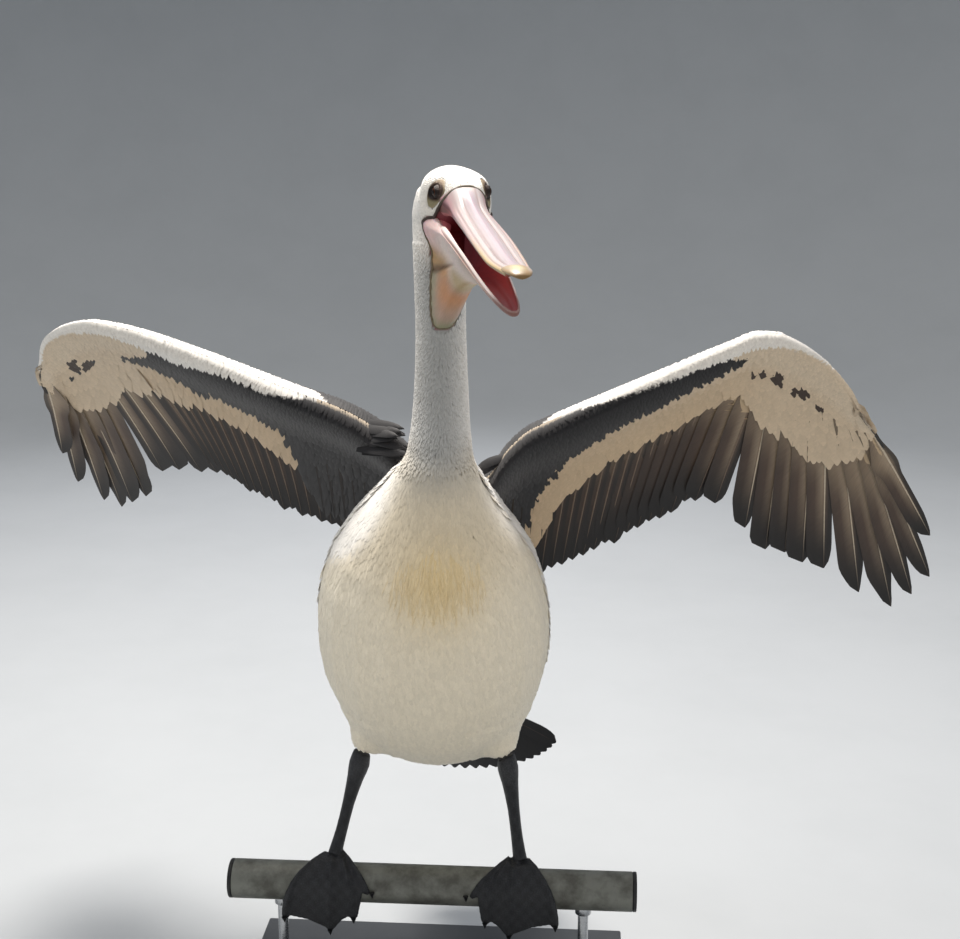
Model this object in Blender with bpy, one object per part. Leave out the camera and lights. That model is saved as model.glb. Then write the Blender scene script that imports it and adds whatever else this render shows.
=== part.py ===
"""A life-size Australian pelican with half-open wings, on a length of rail.

Units are metres and +Z is up. The bird faces -Y and its left side is +X. The
origin is the centre of the underside of the display stand, on the floor.
"""

import math

import bmesh
import bpy
from mathutils import Matrix, Vector

COLLECTION = "pelican"
GAP = 0.0003            # air left between neighbouring pieces
CUTTER_GROWTH = 0.0004  # by which a cutter's corners stand out, to leave the gap
ROUND = 20              # points round a body section
ROUND_SMALL = 14        # points round a slim one

# Display stand and perch
BASE_SIZE = (0.60, 0.38, 0.022)
BASE_BEVEL = 0.003
ROD_RADIUS = 0.008
ROD_X = 0.235
RAIL_RADIUS = 0.03015
RAIL_HEIGHT = 0.20      # rail centre above the floor
RAIL_LENGTH = 0.62
CAP_DEPTH = 0.006
RAIL_SEGMENTS = 24

# Neck and trunk in one line, from the throat down the chest to the rump:
# centre x, y, z, half width, half depth
BODY = (
    (0.018, 0.022, 1.262, 0.033, 0.036),
    (0.016, 0.021, 1.222, 0.0400, 0.040),
    (0.017, 0.014, 1.180, 0.0395, 0.040),
    (0.018, 0.008, 1.120, 0.0380, 0.039),
    (0.019, 0.006, 1.050, 0.0375, 0.038),
    (0.019, 0.004, 0.966, 0.0410, 0.040),
    (0.018, -0.006, 0.900, 0.0470, 0.045),
    (0.016, -0.010, 0.862, 0.0580, 0.050),
    (0.010, 0.003, 0.810, 0.100, 0.082),
    (0.004, 0.026, 0.735, 0.152, 0.126),
    (0.000, 0.050, 0.640, 0.177, 0.152),
    (0.000, 0.078, 0.545, 0.174, 0.152),
    (0.004, 0.126, 0.478, 0.150, 0.133),
    (0.010, 0.182, 0.440, 0.110, 0.098),
    (0.018, 0.236, 0.414, 0.064, 0.055),
    (0.022, 0.270, 0.394, 0.030, 0.022),
)
NECK_FOOT = 7           # station where the neck meets the trunk

# Head: the frame stands between the eyes, turned to the bird's left and down
HEAD_AT = Vector((0.053, -0.041, 1.262))
HEAD_YAW = math.radians(13.8)
HEAD_PITCH = math.radians(9.6)
# distance forward, half width, height above and depth below the eye line, the
# shift to the side by which the nape stays over the neck, and the share by which
# the cheeks swell below the eye line
HEAD = (
    (-0.118, 0.0120, 0.0060, 0.012, -0.0140, 0.30),
    (-0.107, 0.0200, 0.0100, 0.034, -0.0100, 0.60),
    (-0.082, 0.0310, 0.0190, 0.056, -0.0065, 0.60),
    (-0.050, 0.0425, 0.0262, 0.066, -0.0060, 0.45),
    (-0.022, 0.0472, 0.0290, 0.066, -0.0045, 0.30),
    (0.000, 0.0392, 0.0285, 0.055, -0.0005, 0.22),
    (0.018, 0.0310, 0.0245, 0.041, 0.0000, 0.05),
    (0.034, 0.0235, 0.0170, 0.026, 0.0000, 0.00),
    (0.044, 0.0150, 0.0100, 0.012, 0.0000, 0.00),
)
CROWN_POWER = 1.25      # narrows the skull above the eye line
CHEEK_POWER = 0.5       # fills it out below
EYE_SIDE = 0.0315
EYE_RADIUS = 0.0095

# Bill: distance forward, half width, height above and depth below its widest
# line, and the height of that line
BILL_UPPER = (
    (-0.030, 0.0370, 0.0150, 0.0290, -0.0100),
    (0.000, 0.0350, 0.0215, 0.0250, -0.0100),
    (0.020, 0.0300, 0.0265, 0.0190, -0.0120),
    (0.036, 0.0262, 0.0285, 0.0130, -0.0135),
    (0.060, 0.0245, 0.0235, 0.0100, -0.0130),
    (0.100, 0.0243, 0.0165, 0.0085, -0.0125),
    (0.160, 0.0252, 0.0105, 0.0075, -0.0100),
    (0.240, 0.0258, 0.0080, 0.0065, -0.0085),
    (0.320, 0.0240, 0.0075, 0.0055, -0.0085),
    (0.360, 0.0208, 0.0070, 0.0050, -0.0062),
    (0.402, 0.0165, 0.0065, 0.0050, -0.0018),
)
# the nail, with the drop of its hook
NAIL = (
    (0.402, 0.0155, 0.0060, 0.0050, -0.0018),
    (0.418, 0.0132, 0.0058, 0.0058, -0.0016),
    (0.427, 0.0100, 0.0044, 0.0062, -0.0030),
    (0.432, 0.0058, 0.0024, 0.0044, -0.0052),
)
JAW_HINGE = (-0.047, -0.046)        # forward and up from the head frame
JAW_OPEN = math.radians(1.0)        # below the head's line
JAW_LENGTH = 0.436
JAW_START = 0.024                   # where the bare jaw leaves the face
JAW_WIDTH = 0.030                   # half width, without the cheeks' flare
JAW_FLARE = 0.016                   # what the cheeks add at the hinge
FLARE_SHARE = 0.12                  # of the jaw's length, over which the flare fades
JAW_STEPS = 12                      # sections along one side
RAMUS = (0.0045, 0.0115)            # half width and half height of one side
RAMUS_SIDES = 6
# distance forward along the jaw, depth of the skin below it, and its width as a
# share of the jaw's
POUCH = (
    (-0.016, 0.108, 0.34),
    (0.004, 0.138, 0.74),
    (0.030, 0.153, 0.97),
    (0.062, 0.143, 1.00),
    (0.090, 0.108, 1.00),
    (0.117, 0.078, 1.00),
    (0.166, 0.050, 1.00),
    (0.246, 0.023, 1.00),
    (0.340, 0.011, 1.00),
    (0.415, 0.006, 1.00),
)
POUCH_SWAY = 0.026                  # by which its lowest point hangs to the right
POUCH_WALL = 0.0022
POUCH_STEPS = 5                     # points from its keel up to one side

# Legs: centre x, y, z, half width, half depth, for the left side
THIGH = (
    (0.078, 0.075, 0.480, 0.052, 0.058),
    (0.092, 0.064, 0.442, 0.042, 0.048),
    (0.105, 0.054, 0.412, 0.029, 0.034),
    (0.112, 0.050, 0.396, 0.018, 0.021),
)
LEG = (
    (0.112, 0.052, 0.402, 0.0120, 0.0140),
    (0.115, 0.049, 0.378, 0.0165, 0.0190),
    (0.119, 0.042, 0.356, 0.0130, 0.0165),
    (0.125, 0.028, 0.320, 0.0095, 0.0125),
    (0.131, 0.014, 0.280, 0.0092, 0.0122),
    (0.137, 0.000, 0.247, 0.0110, 0.0130),
)
ANKLE_X = {1: 0.137, -1: -0.151}
# toes from the outer one: reach outward and length over the rail
TOES = ((0.056, 0.100), (0.000, 0.119), (-0.029, 0.098), (-0.052, 0.054))
FOOT_TURN = {1: -0.012, -1: 0.003}  # added to each toe's reach outward
TOE_SPLAY = 0.030                   # distance in which the toes have spread
TOE_HEIGHT = 0.010
TOE_FLANK = 0.006       # half width of a toe on its web
FOOT_HEEL = -0.020      # where the sole starts behind the rail's top
FOOT_BALL = 0.016       # height of the ankle's swelling
WEB_HEIGHT = 0.003
SOLE_CLEARANCE = 1.06   # keeps the sole's flat facets clear of the round rail
FOOT_STEPS = 9          # points along each toe

# Wings: points along the leading edge from the shoulder to the hand's end
LEADING_EDGE = {
    1: (
        (0.058, 0.036, 0.820),
        (0.088, 0.036, 0.852),
        (0.130, 0.045, 0.905),
        (0.200, 0.055, 0.940),
        (0.330, 0.050, 1.000),
        (0.430, 0.038, 1.047),
        (0.485, 0.030, 1.066),
        (0.550, 0.034, 1.037),
        (0.600, 0.050, 0.985),
        (0.625, 0.065, 0.940),
    ),
    -1: (
        (-0.028, 0.036, 0.868),
        (-0.075, 0.038, 0.912),
        (-0.135, 0.047, 0.944),
        (-0.218, 0.070, 0.968),
        (-0.350, 0.082, 1.017),
        (-0.450, 0.084, 1.050),
        (-0.532, 0.091, 1.061),
        (-0.600, 0.122, 1.033),
        (-0.628, 0.165, 0.975),
    ),
}
WING_LEAN = {1: (24.0, 24.0), -1: (33.0, 41.0)}     # degrees, arm and hand
ARM_SHARE = {1: 0.751, -1: 0.764}                   # of the edge, up to the hand
ELBOW_FEATHER = 6                                   # secondaries on the upper arm
# each wing's ten primaries from the inner one: lean outward and length
PRIMARIES = {
    1: (
        (-5, 0.358), (-2, 0.391), (0, 0.384), (2, 0.391), (5, 0.390),
        (11, 0.430), (16, 0.451), (20, 0.412), (25, 0.366), (30.5, 0.263),
    ),
    -1: (
        (-20, 0.389), (-18, 0.391), (-15, 0.379), (-12, 0.383), (-6, 0.446),
        (-4, 0.447), (-2, 0.453), (0.5, 0.408), (5, 0.330), (7.5, 0.227),
    ),
}
# share of the length to which the gap before each primary runs
FINGER_GAPS = {
    1: (0.10, 0.04, 0.03, 0.04, 0.03, 0.07, 0.10, 0.20, 0.45, 0.52),
    -1: (0.04, 0.04, 0.05, 0.06, 0.16, 0.06, 0.10, 0.26, 0.42, 0.46),
}
SECONDARIES = 15
# secondaries: lean and length at the shoulder, middle and wrist
SECONDARY_LEAN = {1: (0.0, -9.5, -15.5), -1: (4.0, -5.0, -19.0)}
SECONDARY_LENGTH = {1: (0.270, 0.333, 0.326), -1: (0.262, 0.318, 0.354)}
FLANK = (0.985, 0.955)  # where a secondary's and a primary's corners end
VANE_EDGE = 0.0018      # thickness at the feather tips
CHORD_STEPS = (0.0, 0.06, 0.20, 0.52, 1.0)
CAMBER = 0.045          # bow of a section, as a share of its length
WING_ROOT_DEPTH = 0.052
WING_TIP_DEPTH = 0.012
FEATHER_GAP = 0.04      # between two secondaries, as a share of their length

# Shoulder feathers laid down the back: ends of the line they spring from, and
# directions of the first and last of them
SCAPULARS = {
    1: ((0.036, 0.094, 0.832), (0.116, 0.126, 0.815), (-0.10, 0.55, -0.83), (0.12, 0.48, -0.87)),
    -1: ((-0.098, 0.137, 0.828), (-0.014, 0.096, 0.838), (-0.16, 0.48, -0.87), (0.10, 0.55, -0.83)),
}
SCAPULAR_REACH = 0.150
SCAPULAR_FEATHERS = 6
SCAPULAR_DEPTH = 0.036

# Tail fan
TAIL_ROOT = Vector((0.022, 0.232, 0.402))
TAIL_ROOT_SPREAD = 0.034    # half width of the line the feathers spring from
TAIL_SLOPE = math.radians(56.0)
TAIL_CENTRE = math.radians(9.0)
TAIL_SPREAD = math.radians(43.0)
TAIL_LENGTH = 0.205
TAIL_FEATHERS = 9
TAIL_DEPTH = 0.018

# Colour, roughness, metallic
FINISHES = {
    "feather_white": ((0.83, 0.80, 0.74), 0.75, 0.0),
    "feather_black": ((0.025, 0.022, 0.022), 0.60, 0.0),
    "feather_brown": ((0.16, 0.11, 0.08), 0.60, 0.0),
    "bill_horn": ((0.80, 0.50, 0.47), 0.35, 0.0),
    "nail_horn": ((0.80, 0.62, 0.24), 0.35, 0.0),
    "pouch_skin": ((0.62, 0.34, 0.20), 0.45, 0.0),
    "leg_skin": ((0.05, 0.05, 0.055), 0.50, 0.0),
    "eye_glass": ((0.05, 0.02, 0.01), 0.08, 0.0),
    "rail_steel": ((0.24, 0.24, 0.23), 0.55, 0.6),
    "cap_plastic": ((0.03, 0.03, 0.03), 0.45, 0.0),
    "stand_board": ((0.10, 0.10, 0.10), 0.45, 0.0),
    "rod_steel": ((0.50, 0.50, 0.50), 0.30, 1.0),
}


def clear_scene():
    """Remove every object of the opened scene."""
    for item in list(bpy.data.objects):
        bpy.data.objects.remove(item, do_unlink=True)


def new_collection(name):
    """Return a collection of the given name, linked to the scene."""
    group = bpy.data.collections.new(name)
    bpy.context.scene.collection.children.link(group)
    return group


def finish(name):
    """Return the named Principled material, made on its first use."""
    found = bpy.data.materials.get(name)
    if found:
        return found
    colour, roughness, metallic = FINISHES[name]
    material = bpy.data.materials.new(name)
    material.use_nodes = True
    shader = material.node_tree.nodes["Principled BSDF"]
    shader.inputs["Base Color"].default_value = (*colour, 1.0)
    shader.inputs["Roughness"].default_value = roughness
    shader.inputs["Metallic"].default_value = metallic
    return material


def add_object(name, bm, finish_name, group):
    """Make an object of a bmesh, with faces outward and its own finish."""
    bmesh.ops.recalc_face_normals(bm, faces=bm.faces)
    mesh = bpy.data.meshes.new(name)
    bm.to_mesh(mesh)
    bm.free()
    mesh.materials.append(finish(finish_name))
    mesh.shade_smooth()
    mesh.set_sharp_from_angle(angle=math.radians(50))
    item = bpy.data.objects.new(name, mesh)
    group.objects.link(item)
    return item


def spline(points, per_span):
    """Return points on a smooth curve through rows of numbers."""
    rows = [Vector(p) for p in points]
    rows = [2 * rows[0] - rows[1]] + rows + [2 * rows[-1] - rows[-2]]
    curve = []
    for i in range(1, len(rows) - 2):
        a, b, c, d = rows[i - 1:i + 3]
        for step in range(per_span):
            t = step / per_span
            curve.append(0.5 * (
                2 * b + (c - a) * t
                + (2 * a - 5 * b + 4 * c - d) * t * t
                + (3 * b - a - 3 * c + d) * t ** 3
            ))
    curve.append(rows[-2])
    return curve


def blend3(ends, t):
    """Return the value at t of a parabola through start, middle and end."""
    start, middle, end = ends
    return start * (1 - t) * (1 - 2 * t) + middle * 4 * t * (1 - t) + end * t * (2 * t - 1)


def loft(rings, strip=False):
    """Return a closed bmesh through rings that have equally many points.

    A strip's ring runs out along one face and back along the other, and its
    ends are closed by a ladder of quads.
    """
    bm = bmesh.new()
    loops = [[bm.verts.new(point) for point in ring] for ring in rings]
    count = len(loops[0])
    for near, far in zip(loops, loops[1:]):
        for i in range(count):
            j = (i + 1) % count
            bm.faces.new((near[i], near[j], far[j], far[i]))
    for loop in (loops[0], loops[-1]):
        if strip:
            for i in range(count // 2 - 1):
                bm.faces.new((loop[i], loop[i + 1], loop[-2 - i], loop[-1 - i]))
        else:
            bm.faces.new(loop)
    return bm


def body_rings(stations, per_span, sides=ROUND):
    """Return oval rings square to the line through a body's stations."""
    heads = spline([row[:3] for row in stations], per_span)
    sizes = spline([(row[3], row[4], 0) for row in stations], per_span)
    rings = []
    for i, centre in enumerate(heads):
        before = heads[max(i - 1, 0)]
        after = heads[min(i + 1, len(heads) - 1)]
        along = (after - before).normalized()
        across = Vector((1, 0, 0))
        across = (across - along * across.dot(along)).normalized()
        deep = along.cross(across)
        ring = []
        for k in range(sides):
            turn = 2 * math.pi * k / sides
            side = across * sizes[i].x * math.cos(turn)
            ring.append(centre + side + deep * sizes[i].y * math.sin(turn))
        rings.append(ring)
    return rings


def grown_copy(item, cutters):
    """Return a hidden cutter a little larger than an object."""
    mesh = item.data.copy()
    for vertex, normal in zip(mesh.vertices, [v.normal.copy() for v in mesh.vertices]):
        vertex.co += normal * CUTTER_GROWTH
    cutter = bpy.data.objects.new(item.name + "_cutter", mesh)
    cutter.matrix_world = item.matrix_world
    cutter.hide_render = True
    cutter.display_type = "WIRE"
    cutters.objects.link(cutter)
    return cutter


def trim(item, *cutters):
    """Cut an object back to clear its neighbours."""
    for cutter in cutters:
        cut = item.modifiers.new("clear_" + cutter.name, "BOOLEAN")
        cut.operation = "DIFFERENCE"
        cut.object = cutter


def head_axes():
    """Return the head's forward, left and up directions."""
    turn = Matrix.Rotation(HEAD_YAW, 3, "Z") @ Matrix.Rotation(HEAD_PITCH, 3, "X")
    return turn @ Vector((0, -1, 0)), turn @ Vector((1, 0, 0)), turn @ Vector((0, 0, 1))


def head_point(forward, side, up):
    """Return the world point at a place in the head's frame."""
    ahead, left, above = head_axes()
    return HEAD_AT + ahead * forward + left * side + above * up


def jaw_point(forward, side, up):
    """Return the world point at a place in the lower jaw's frame."""
    along = forward * math.cos(JAW_OPEN) + up * math.sin(JAW_OPEN)
    above = up * math.cos(JAW_OPEN) - forward * math.sin(JAW_OPEN)
    return head_point(JAW_HINGE[0] + along, side, JAW_HINGE[1] + above)


def jaw_half_width(forward):
    """Return half the distance between the jaw's sides at a distance forward."""
    t = min(max(forward / JAW_LENGTH, 0), 1)
    return JAW_WIDTH * (1 - t) ** 0.4 + JAW_FLARE * math.exp(-t / FLARE_SHARE) * (1 - t)


def head_ring(forward, width, top, bottom, shift=(0.0, 0.0), sides=ROUND):
    """Return a ring across the head's line, unlike above and below."""
    ring = []
    for k in range(sides):
        turn = 2 * math.pi * k / sides
        height = top if math.sin(turn) > 0 else bottom
        up = height * math.sin(turn) + shift[1]
        ring.append(head_point(forward, width * math.cos(turn) + shift[0], up))
    return ring


def parted(above, below):
    """Return a ring moved a little from one ring towards the next below it."""
    moved = []
    for near, far in zip(above, below):
        moved.append(near.lerp(far, 1.3 * GAP / (far - near).length))
    return moved


def make_body(group):
    """The neck and the trunk, modelled as one and parted by a thin cut."""
    steps = 2
    rings = body_rings(BODY, steps)
    foot = NECK_FOOT * steps
    trunk = [parted(rings[foot], rings[foot + 1])] + rings[foot + 1:]
    return (
        add_object("neck", loft(rings[:foot + 1]), "feather_white", group),
        add_object("trunk", loft(trunk), "feather_white", group),
    )


def skull_ring(forward, width, top, bottom, shift, cheek):
    """Return a ring of the skull, narrow at the crown and full at the cheeks."""
    ring = []
    for k in range(ROUND):
        turn = 2 * math.pi * k / ROUND
        low = max(0.0, -math.sin(turn))
        power = CHEEK_POWER if low > 1e-6 else CROWN_POWER
        across = math.copysign(abs(math.cos(turn)) ** power, math.cos(turn))
        side = width * across * (1 + cheek * low) + shift
        height = bottom if low > 1e-6 else top
        ring.append(head_point(forward, side, height * math.sin(turn)))
    return ring


def make_head(group):
    """The skull with its feathering, closed at the nape and the forehead."""
    rows = spline([row[:3] for row in HEAD], 2)
    below = spline([row[3:] for row in HEAD], 2)
    rings = []
    for row, rest in zip(rows, below):
        rings.append(skull_ring(row.x, row.y, row.z, rest.x, rest.y, rest.z))
    return add_object("head", loft(rings), "feather_white", group)


def make_eye(name, side, group):
    """One eyeball."""
    bm = bmesh.new()
    bmesh.ops.create_uvsphere(bm, u_segments=10, v_segments=7, radius=EYE_RADIUS)
    bmesh.ops.translate(bm, verts=bm.verts, vec=head_point(0, side * EYE_SIDE, 0))
    return add_object(name, bm, "eye_glass", group)


def make_bill_upper(group):
    """The upper bill, which is returned, and the hooked nail at its tip."""
    rings = []
    widths = spline([(row[0], row[1], row[2]) for row in BILL_UPPER], 2)
    depths = spline([(row[3], row[4], 0) for row in BILL_UPPER], 2)
    for row, depth in zip(widths, depths):
        rings.append(head_ring(row.x, row.y, row.z, depth.x, (0, depth.y), ROUND_SMALL))
    bill = add_object("bill_upper", loft(rings), "bill_horn", group)
    rings = []
    for i, (forward, width, top, bottom, drop) in enumerate(NAIL):
        gap = GAP * 1.2 if i == 0 else 0
        rings.append(head_ring(forward + gap, width, top, bottom, (0, drop), ROUND_SMALL))
    add_object("bill_nail", loft(rings), "nail_horn", group)
    return bill


def make_bill_lower(group):
    """The lower jaw: a horseshoe of two slim sides that join at the tip."""
    path = []
    for k in range(-JAW_STEPS, JAW_STEPS + 1):
        turn = abs(k) / JAW_STEPS
        forward = JAW_START + (JAW_LENGTH - JAW_START) * (1 - turn ** 1.9)
        side = math.copysign(jaw_half_width(forward), k) if k else 0.0
        path.append((forward, side))
    rings = []
    for i, (forward, side) in enumerate(path):
        before = path[max(i - 1, 0)]
        after = path[min(i + 1, len(path) - 1)]
        run = Vector((after[0] - before[0], after[1] - before[1])).normalized()
        out = Vector((run.y, -run.x))
        height = RAMUS[1] * (1 - 0.65 * (forward / JAW_LENGTH) ** 0.6)
        ring = []
        for j in range(RAMUS_SIDES):
            turn = 2 * math.pi * (j + 0.5) / RAMUS_SIDES
            shift = out * RAMUS[0] * math.cos(turn)
            ring.append(jaw_point(forward + shift.x, side + shift.y, height * math.sin(turn)))
        rings.append(ring)
    return add_object("bill_lower", loft(rings), "bill_horn", group)


def make_pouch(group):
    """The throat pouch: a trough of thin skin slung between the jaw's sides."""
    deepest = max(row[1] for row in POUCH)
    rings = []
    for forward, depth, share in POUCH:
        width = jaw_half_width(forward) * share
        outer = []
        inner = []
        for k in range(-POUCH_STEPS, POUCH_STEPS + 1):
            t = k / POUCH_STEPS
            side = width * math.copysign(abs(t) ** 0.75, t)
            drop = depth * (1 - abs(t) ** 2.4)
            sway = POUCH_SWAY * (drop / deepest) ** 1.3
            outer.append(jaw_point(forward, side - sway, -drop - POUCH_WALL * 0.5))
            shrink = 1 - POUCH_WALL / width
            inner.append(jaw_point(forward, side * shrink - sway, POUCH_WALL * 1.2 - drop))
        rings.append(outer + inner[::-1])
    return add_object("pouch", loft(rings, strip=True), "pouch_skin", group)


def vane_ring(lead, tip, facing, thickness):
    """Return one section from a leading edge to a feather tip.

    It runs down the side that looks the way of facing and back up the other
    side, to which it is bowed.
    """
    chord = tip - lead
    under = (facing - chord * facing.dot(chord) / chord.length_squared).normalized()
    faces = [[], []]
    for step in CHORD_STEPS:
        body = math.exp(-((step - 0.10) / 0.20) ** 2) * min(1, 0.45 + 5 * step)
        half = 0.5 * (VANE_EDGE + thickness * body)
        bow = CAMBER * chord.length * 4 * step * (1 - step)
        middle = lead + chord * step - under * bow
        faces[0].append(middle + under * half)
        faces[1].append(middle - under * half)
    return faces[0] + faces[1][::-1]


def edge_point(edge, share):
    """Return the point at a share of the length along a leading edge."""
    lengths = [(b - a).length for a, b in zip(edge, edge[1:])]
    target = share * sum(lengths)
    for start, end, length in zip(edge, edge[1:], lengths):
        if target <= length:
            return start.lerp(end, target / length)
        target -= length
    return edge[-1]


def under_side(lean_back):
    """Return the direction that a leaned wing's under side looks to."""
    return Vector((0, -math.cos(lean_back), -math.sin(lean_back)))


def feather_tip(lead, side, tilt, lean, length):
    """Return a feather's tip, hanging from a point of the leading edge."""
    down = Vector((0, math.sin(tilt), -math.cos(tilt)))
    out = Vector((side, 0, 0))
    return lead + (down * math.cos(lean) + out * math.sin(lean)) * length


def wing_feathers(side):
    """Return (lead, tip, gap before) for each flight feather from the body out."""
    edge = spline(LEADING_EDGE[side], 6)
    arm = ARM_SHARE[side]
    feathers = []
    for k in range(SECONDARIES):
        t = k / (SECONDARIES - 1)
        lead = edge_point(edge, arm * (0.98 * t ** 0.92))
        tilt = math.radians(WING_LEAN[side][0])
        lean = math.radians(blend3(SECONDARY_LEAN[side], t))
        length = blend3(SECONDARY_LENGTH[side], t)
        feathers.append((lead, feather_tip(lead, side, tilt, lean, length), FEATHER_GAP))
    for k, (lean, length) in enumerate(PRIMARIES[side]):
        lead = edge_point(edge, arm + (1 - arm) * k / (len(PRIMARIES[side]) - 1))
        tilt = math.radians(WING_LEAN[side][1])
        tip = feather_tip(lead, side, tilt, math.radians(lean), length)
        feathers.append((lead, tip, FINGER_GAPS[side][k]))
    return feathers


def wing_stations(side):
    """Return wing sections (lead, tip) with the feather each belongs to."""
    feathers = wing_feathers(side)
    stations = []
    for i, (lead, tip, gap) in enumerate(feathers):
        flank = FLANK[i >= SECONDARIES]
        if i > 0:
            root = (lead + feathers[i - 1][0]) / 2
            end = (tip + feathers[i - 1][1]) / 2
            stations.append((i, root, root.lerp(end, 1 - gap)))
            start = root.lerp(lead, 0.45)
            stations.append((i, start, start.lerp(end.lerp(tip, 0.45), flank)))
        if i == 0 or i >= SECONDARIES:
            stations.append((i, lead, tip))
        if i + 1 < len(feathers):
            root = (lead + feathers[i + 1][0]) / 2
            end = (tip + feathers[i + 1][1]) / 2
            finish_at = root.lerp(lead, 0.45)
            stations.append((i, finish_at, finish_at.lerp(end.lerp(tip, 0.45), flank)))
    return stations


def make_wing(label, side, group):
    """One wing in three pieces: upper arm, forearm and hand with primaries."""
    stations = wing_stations(side)
    rings = []
    arm_lean, hand_lean = WING_LEAN[side]
    for i, (owner, lead, tip) in enumerate(stations):
        share = i / (len(stations) - 1)
        facing = under_side(math.radians(arm_lean + (hand_lean - arm_lean) * share))
        thickness = WING_ROOT_DEPTH * (1 - share) ** 1.6 + WING_TIP_DEPTH
        rings.append((owner, vane_ring(lead, tip, facing, thickness)))
    pieces = []
    limits = (0, ELBOW_FEATHER, SECONDARIES, SECONDARIES + len(PRIMARIES[side]))
    for name, first, last in zip(("upper_arm", "forearm", "hand"), limits, limits[1:]):
        piece = [ring for owner, ring in rings if first <= owner < last]
        following = [ring for owner, ring in rings if owner == last]
        if following:
            close = []
            for here, there in zip(piece[-1], following[0]):
                step = (there - here).length
                close.append(here.lerp(there, 1 - min(0.5, 1.6 * GAP / max(step, GAP))))
            piece.append(close)
        bm = loft(piece, strip=True)
        pieces.append(add_object(f"wing_{label}_{name}", bm, "feather_brown", group))
    return pieces


def make_scapulars(label, side, group):
    """The long shoulder feathers, a short fan over the wing's root."""
    start, end, first_ray, last_ray = [Vector(row) for row in SCAPULARS[side]]
    rings = []
    for k in range(2 * SCAPULAR_FEATHERS + 1):
        t = k / (2 * SCAPULAR_FEATHERS)
        lead = start.lerp(end, t)
        ray = first_ray.lerp(last_ray, t).normalized()
        reach = SCAPULAR_REACH * (1.0 if k % 2 else 0.90)
        rings.append(vane_ring(lead, lead + ray * reach, Vector((0, -1, 0)), SCAPULAR_DEPTH))
    bm = loft(rings, strip=True)
    return add_object(f"scapulars_{label}", bm, "feather_black", group)


def make_tail(group):
    """The short tail fan under the rump."""
    down = Vector((0, math.cos(TAIL_SLOPE), -math.sin(TAIL_SLOPE)))
    rings = []
    count = 2 * TAIL_FEATHERS + 1
    for k in range(count):
        t = 2 * k / (count - 1) - 1
        turn = TAIL_CENTRE + TAIL_SPREAD * t
        lead = TAIL_ROOT + Vector((TAIL_ROOT_SPREAD * t, 0, 0))
        reach = TAIL_LENGTH * (1.0 if k % 2 else 0.955) * (1 - 0.17 * t * t)
        ray = down * math.cos(turn) + Vector((math.sin(turn), 0, 0))
        rings.append(vane_ring(lead, lead + ray * reach, Vector((0, -1, 0)), TAIL_DEPTH))
    return add_object("tail", loft(rings, strip=True), "feather_black", group)


def mirrored(stations, side, lower_shift=0.0):
    """Return a leg's stations for one side, leaning out towards its foot."""
    top = stations[0][2]
    bottom = stations[-1][2]
    rows = []
    for x, y, z, width, depth in stations:
        t = (top - z) / (top - bottom)
        rows.append((side * (x + lower_shift * t), y, z, width, depth))
    return rows


def make_leg(label, side, group):
    """The feathered thigh and the bare shank."""
    thigh = loft(body_rings(mirrored(THIGH, side), 2, ROUND_SMALL))
    shift = abs(ANKLE_X[side]) - LEG[-1][0]
    shank = loft(body_rings(mirrored(LEG, side, shift), 2, ROUND_SMALL))
    return (
        add_object(f"thigh_{label}", thigh, "feather_white", group),
        add_object(f"leg_{label}", shank, "leg_skin", group),
    )


def over_rail(distance, height):
    """Return y and z at a distance from the rail's top, round its front."""
    radius = RAIL_RADIUS * SOLE_CLEARANCE
    quarter = radius * math.pi / 2
    if distance <= quarter:
        turn = distance / radius
        reach = radius + height
        return -reach * math.sin(turn), RAIL_HEIGHT + reach * math.cos(turn)
    return -(radius + height), RAIL_HEIGHT - (distance - quarter)


def toe_rays(side):
    """Return (reach outward, length, height) across a foot, toes and webs."""
    rays = []
    for i, (reach, length) in enumerate(TOES):
        reach += FOOT_TURN[side]
        rays.append((reach + TOE_FLANK, length * 0.93, TOE_HEIGHT * 0.6))
        rays.append((reach, length, TOE_HEIGHT))
        rays.append((reach - TOE_FLANK, length * 0.93, TOE_HEIGHT * 0.6))
        if i + 1 < len(TOES):
            middle = (reach + TOES[i + 1][0] + FOOT_TURN[side]) / 2
            rays.append((middle, 0.45 * (length + TOES[i + 1][1]), WEB_HEIGHT))
    return rays


def make_foot(label, side, group):
    """A fully webbed foot: four toes and their webs, hung over the rail."""
    rings = []
    for reach, length, ridge in toe_rays(side):
        sole = []
        top = []
        for k in range(FOOT_STEPS):
            t = k / (FOOT_STEPS - 1)
            distance = FOOT_HEEL + (length - FOOT_HEEL) * t
            forward = max(distance, 0)
            spread = reach * (1 - math.exp(-forward / TOE_SPLAY))
            x = ANKLE_X[side] + side * (spread + reach * 0.28)
            ball = FOOT_BALL * math.exp(-(forward / 0.022) ** 2 - (spread / 0.02) ** 2)
            back = min(1.0, (distance - FOOT_HEEL) / 0.020)
            rise = min(1.0, (distance - FOOT_HEEL) / 0.045) * (1 - t ** 3)
            height = 0.0022 + ridge * rise + ball * back
            y, z = over_rail(distance, 0)
            sole.append(Vector((x, y, z)))
            y, z = over_rail(distance, height)
            top.append(Vector((x, y, z)))
        rings.append(sole + top[::-1])
    return add_object(f"foot_{label}", loft(rings, strip=True), "leg_skin", group)


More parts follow.
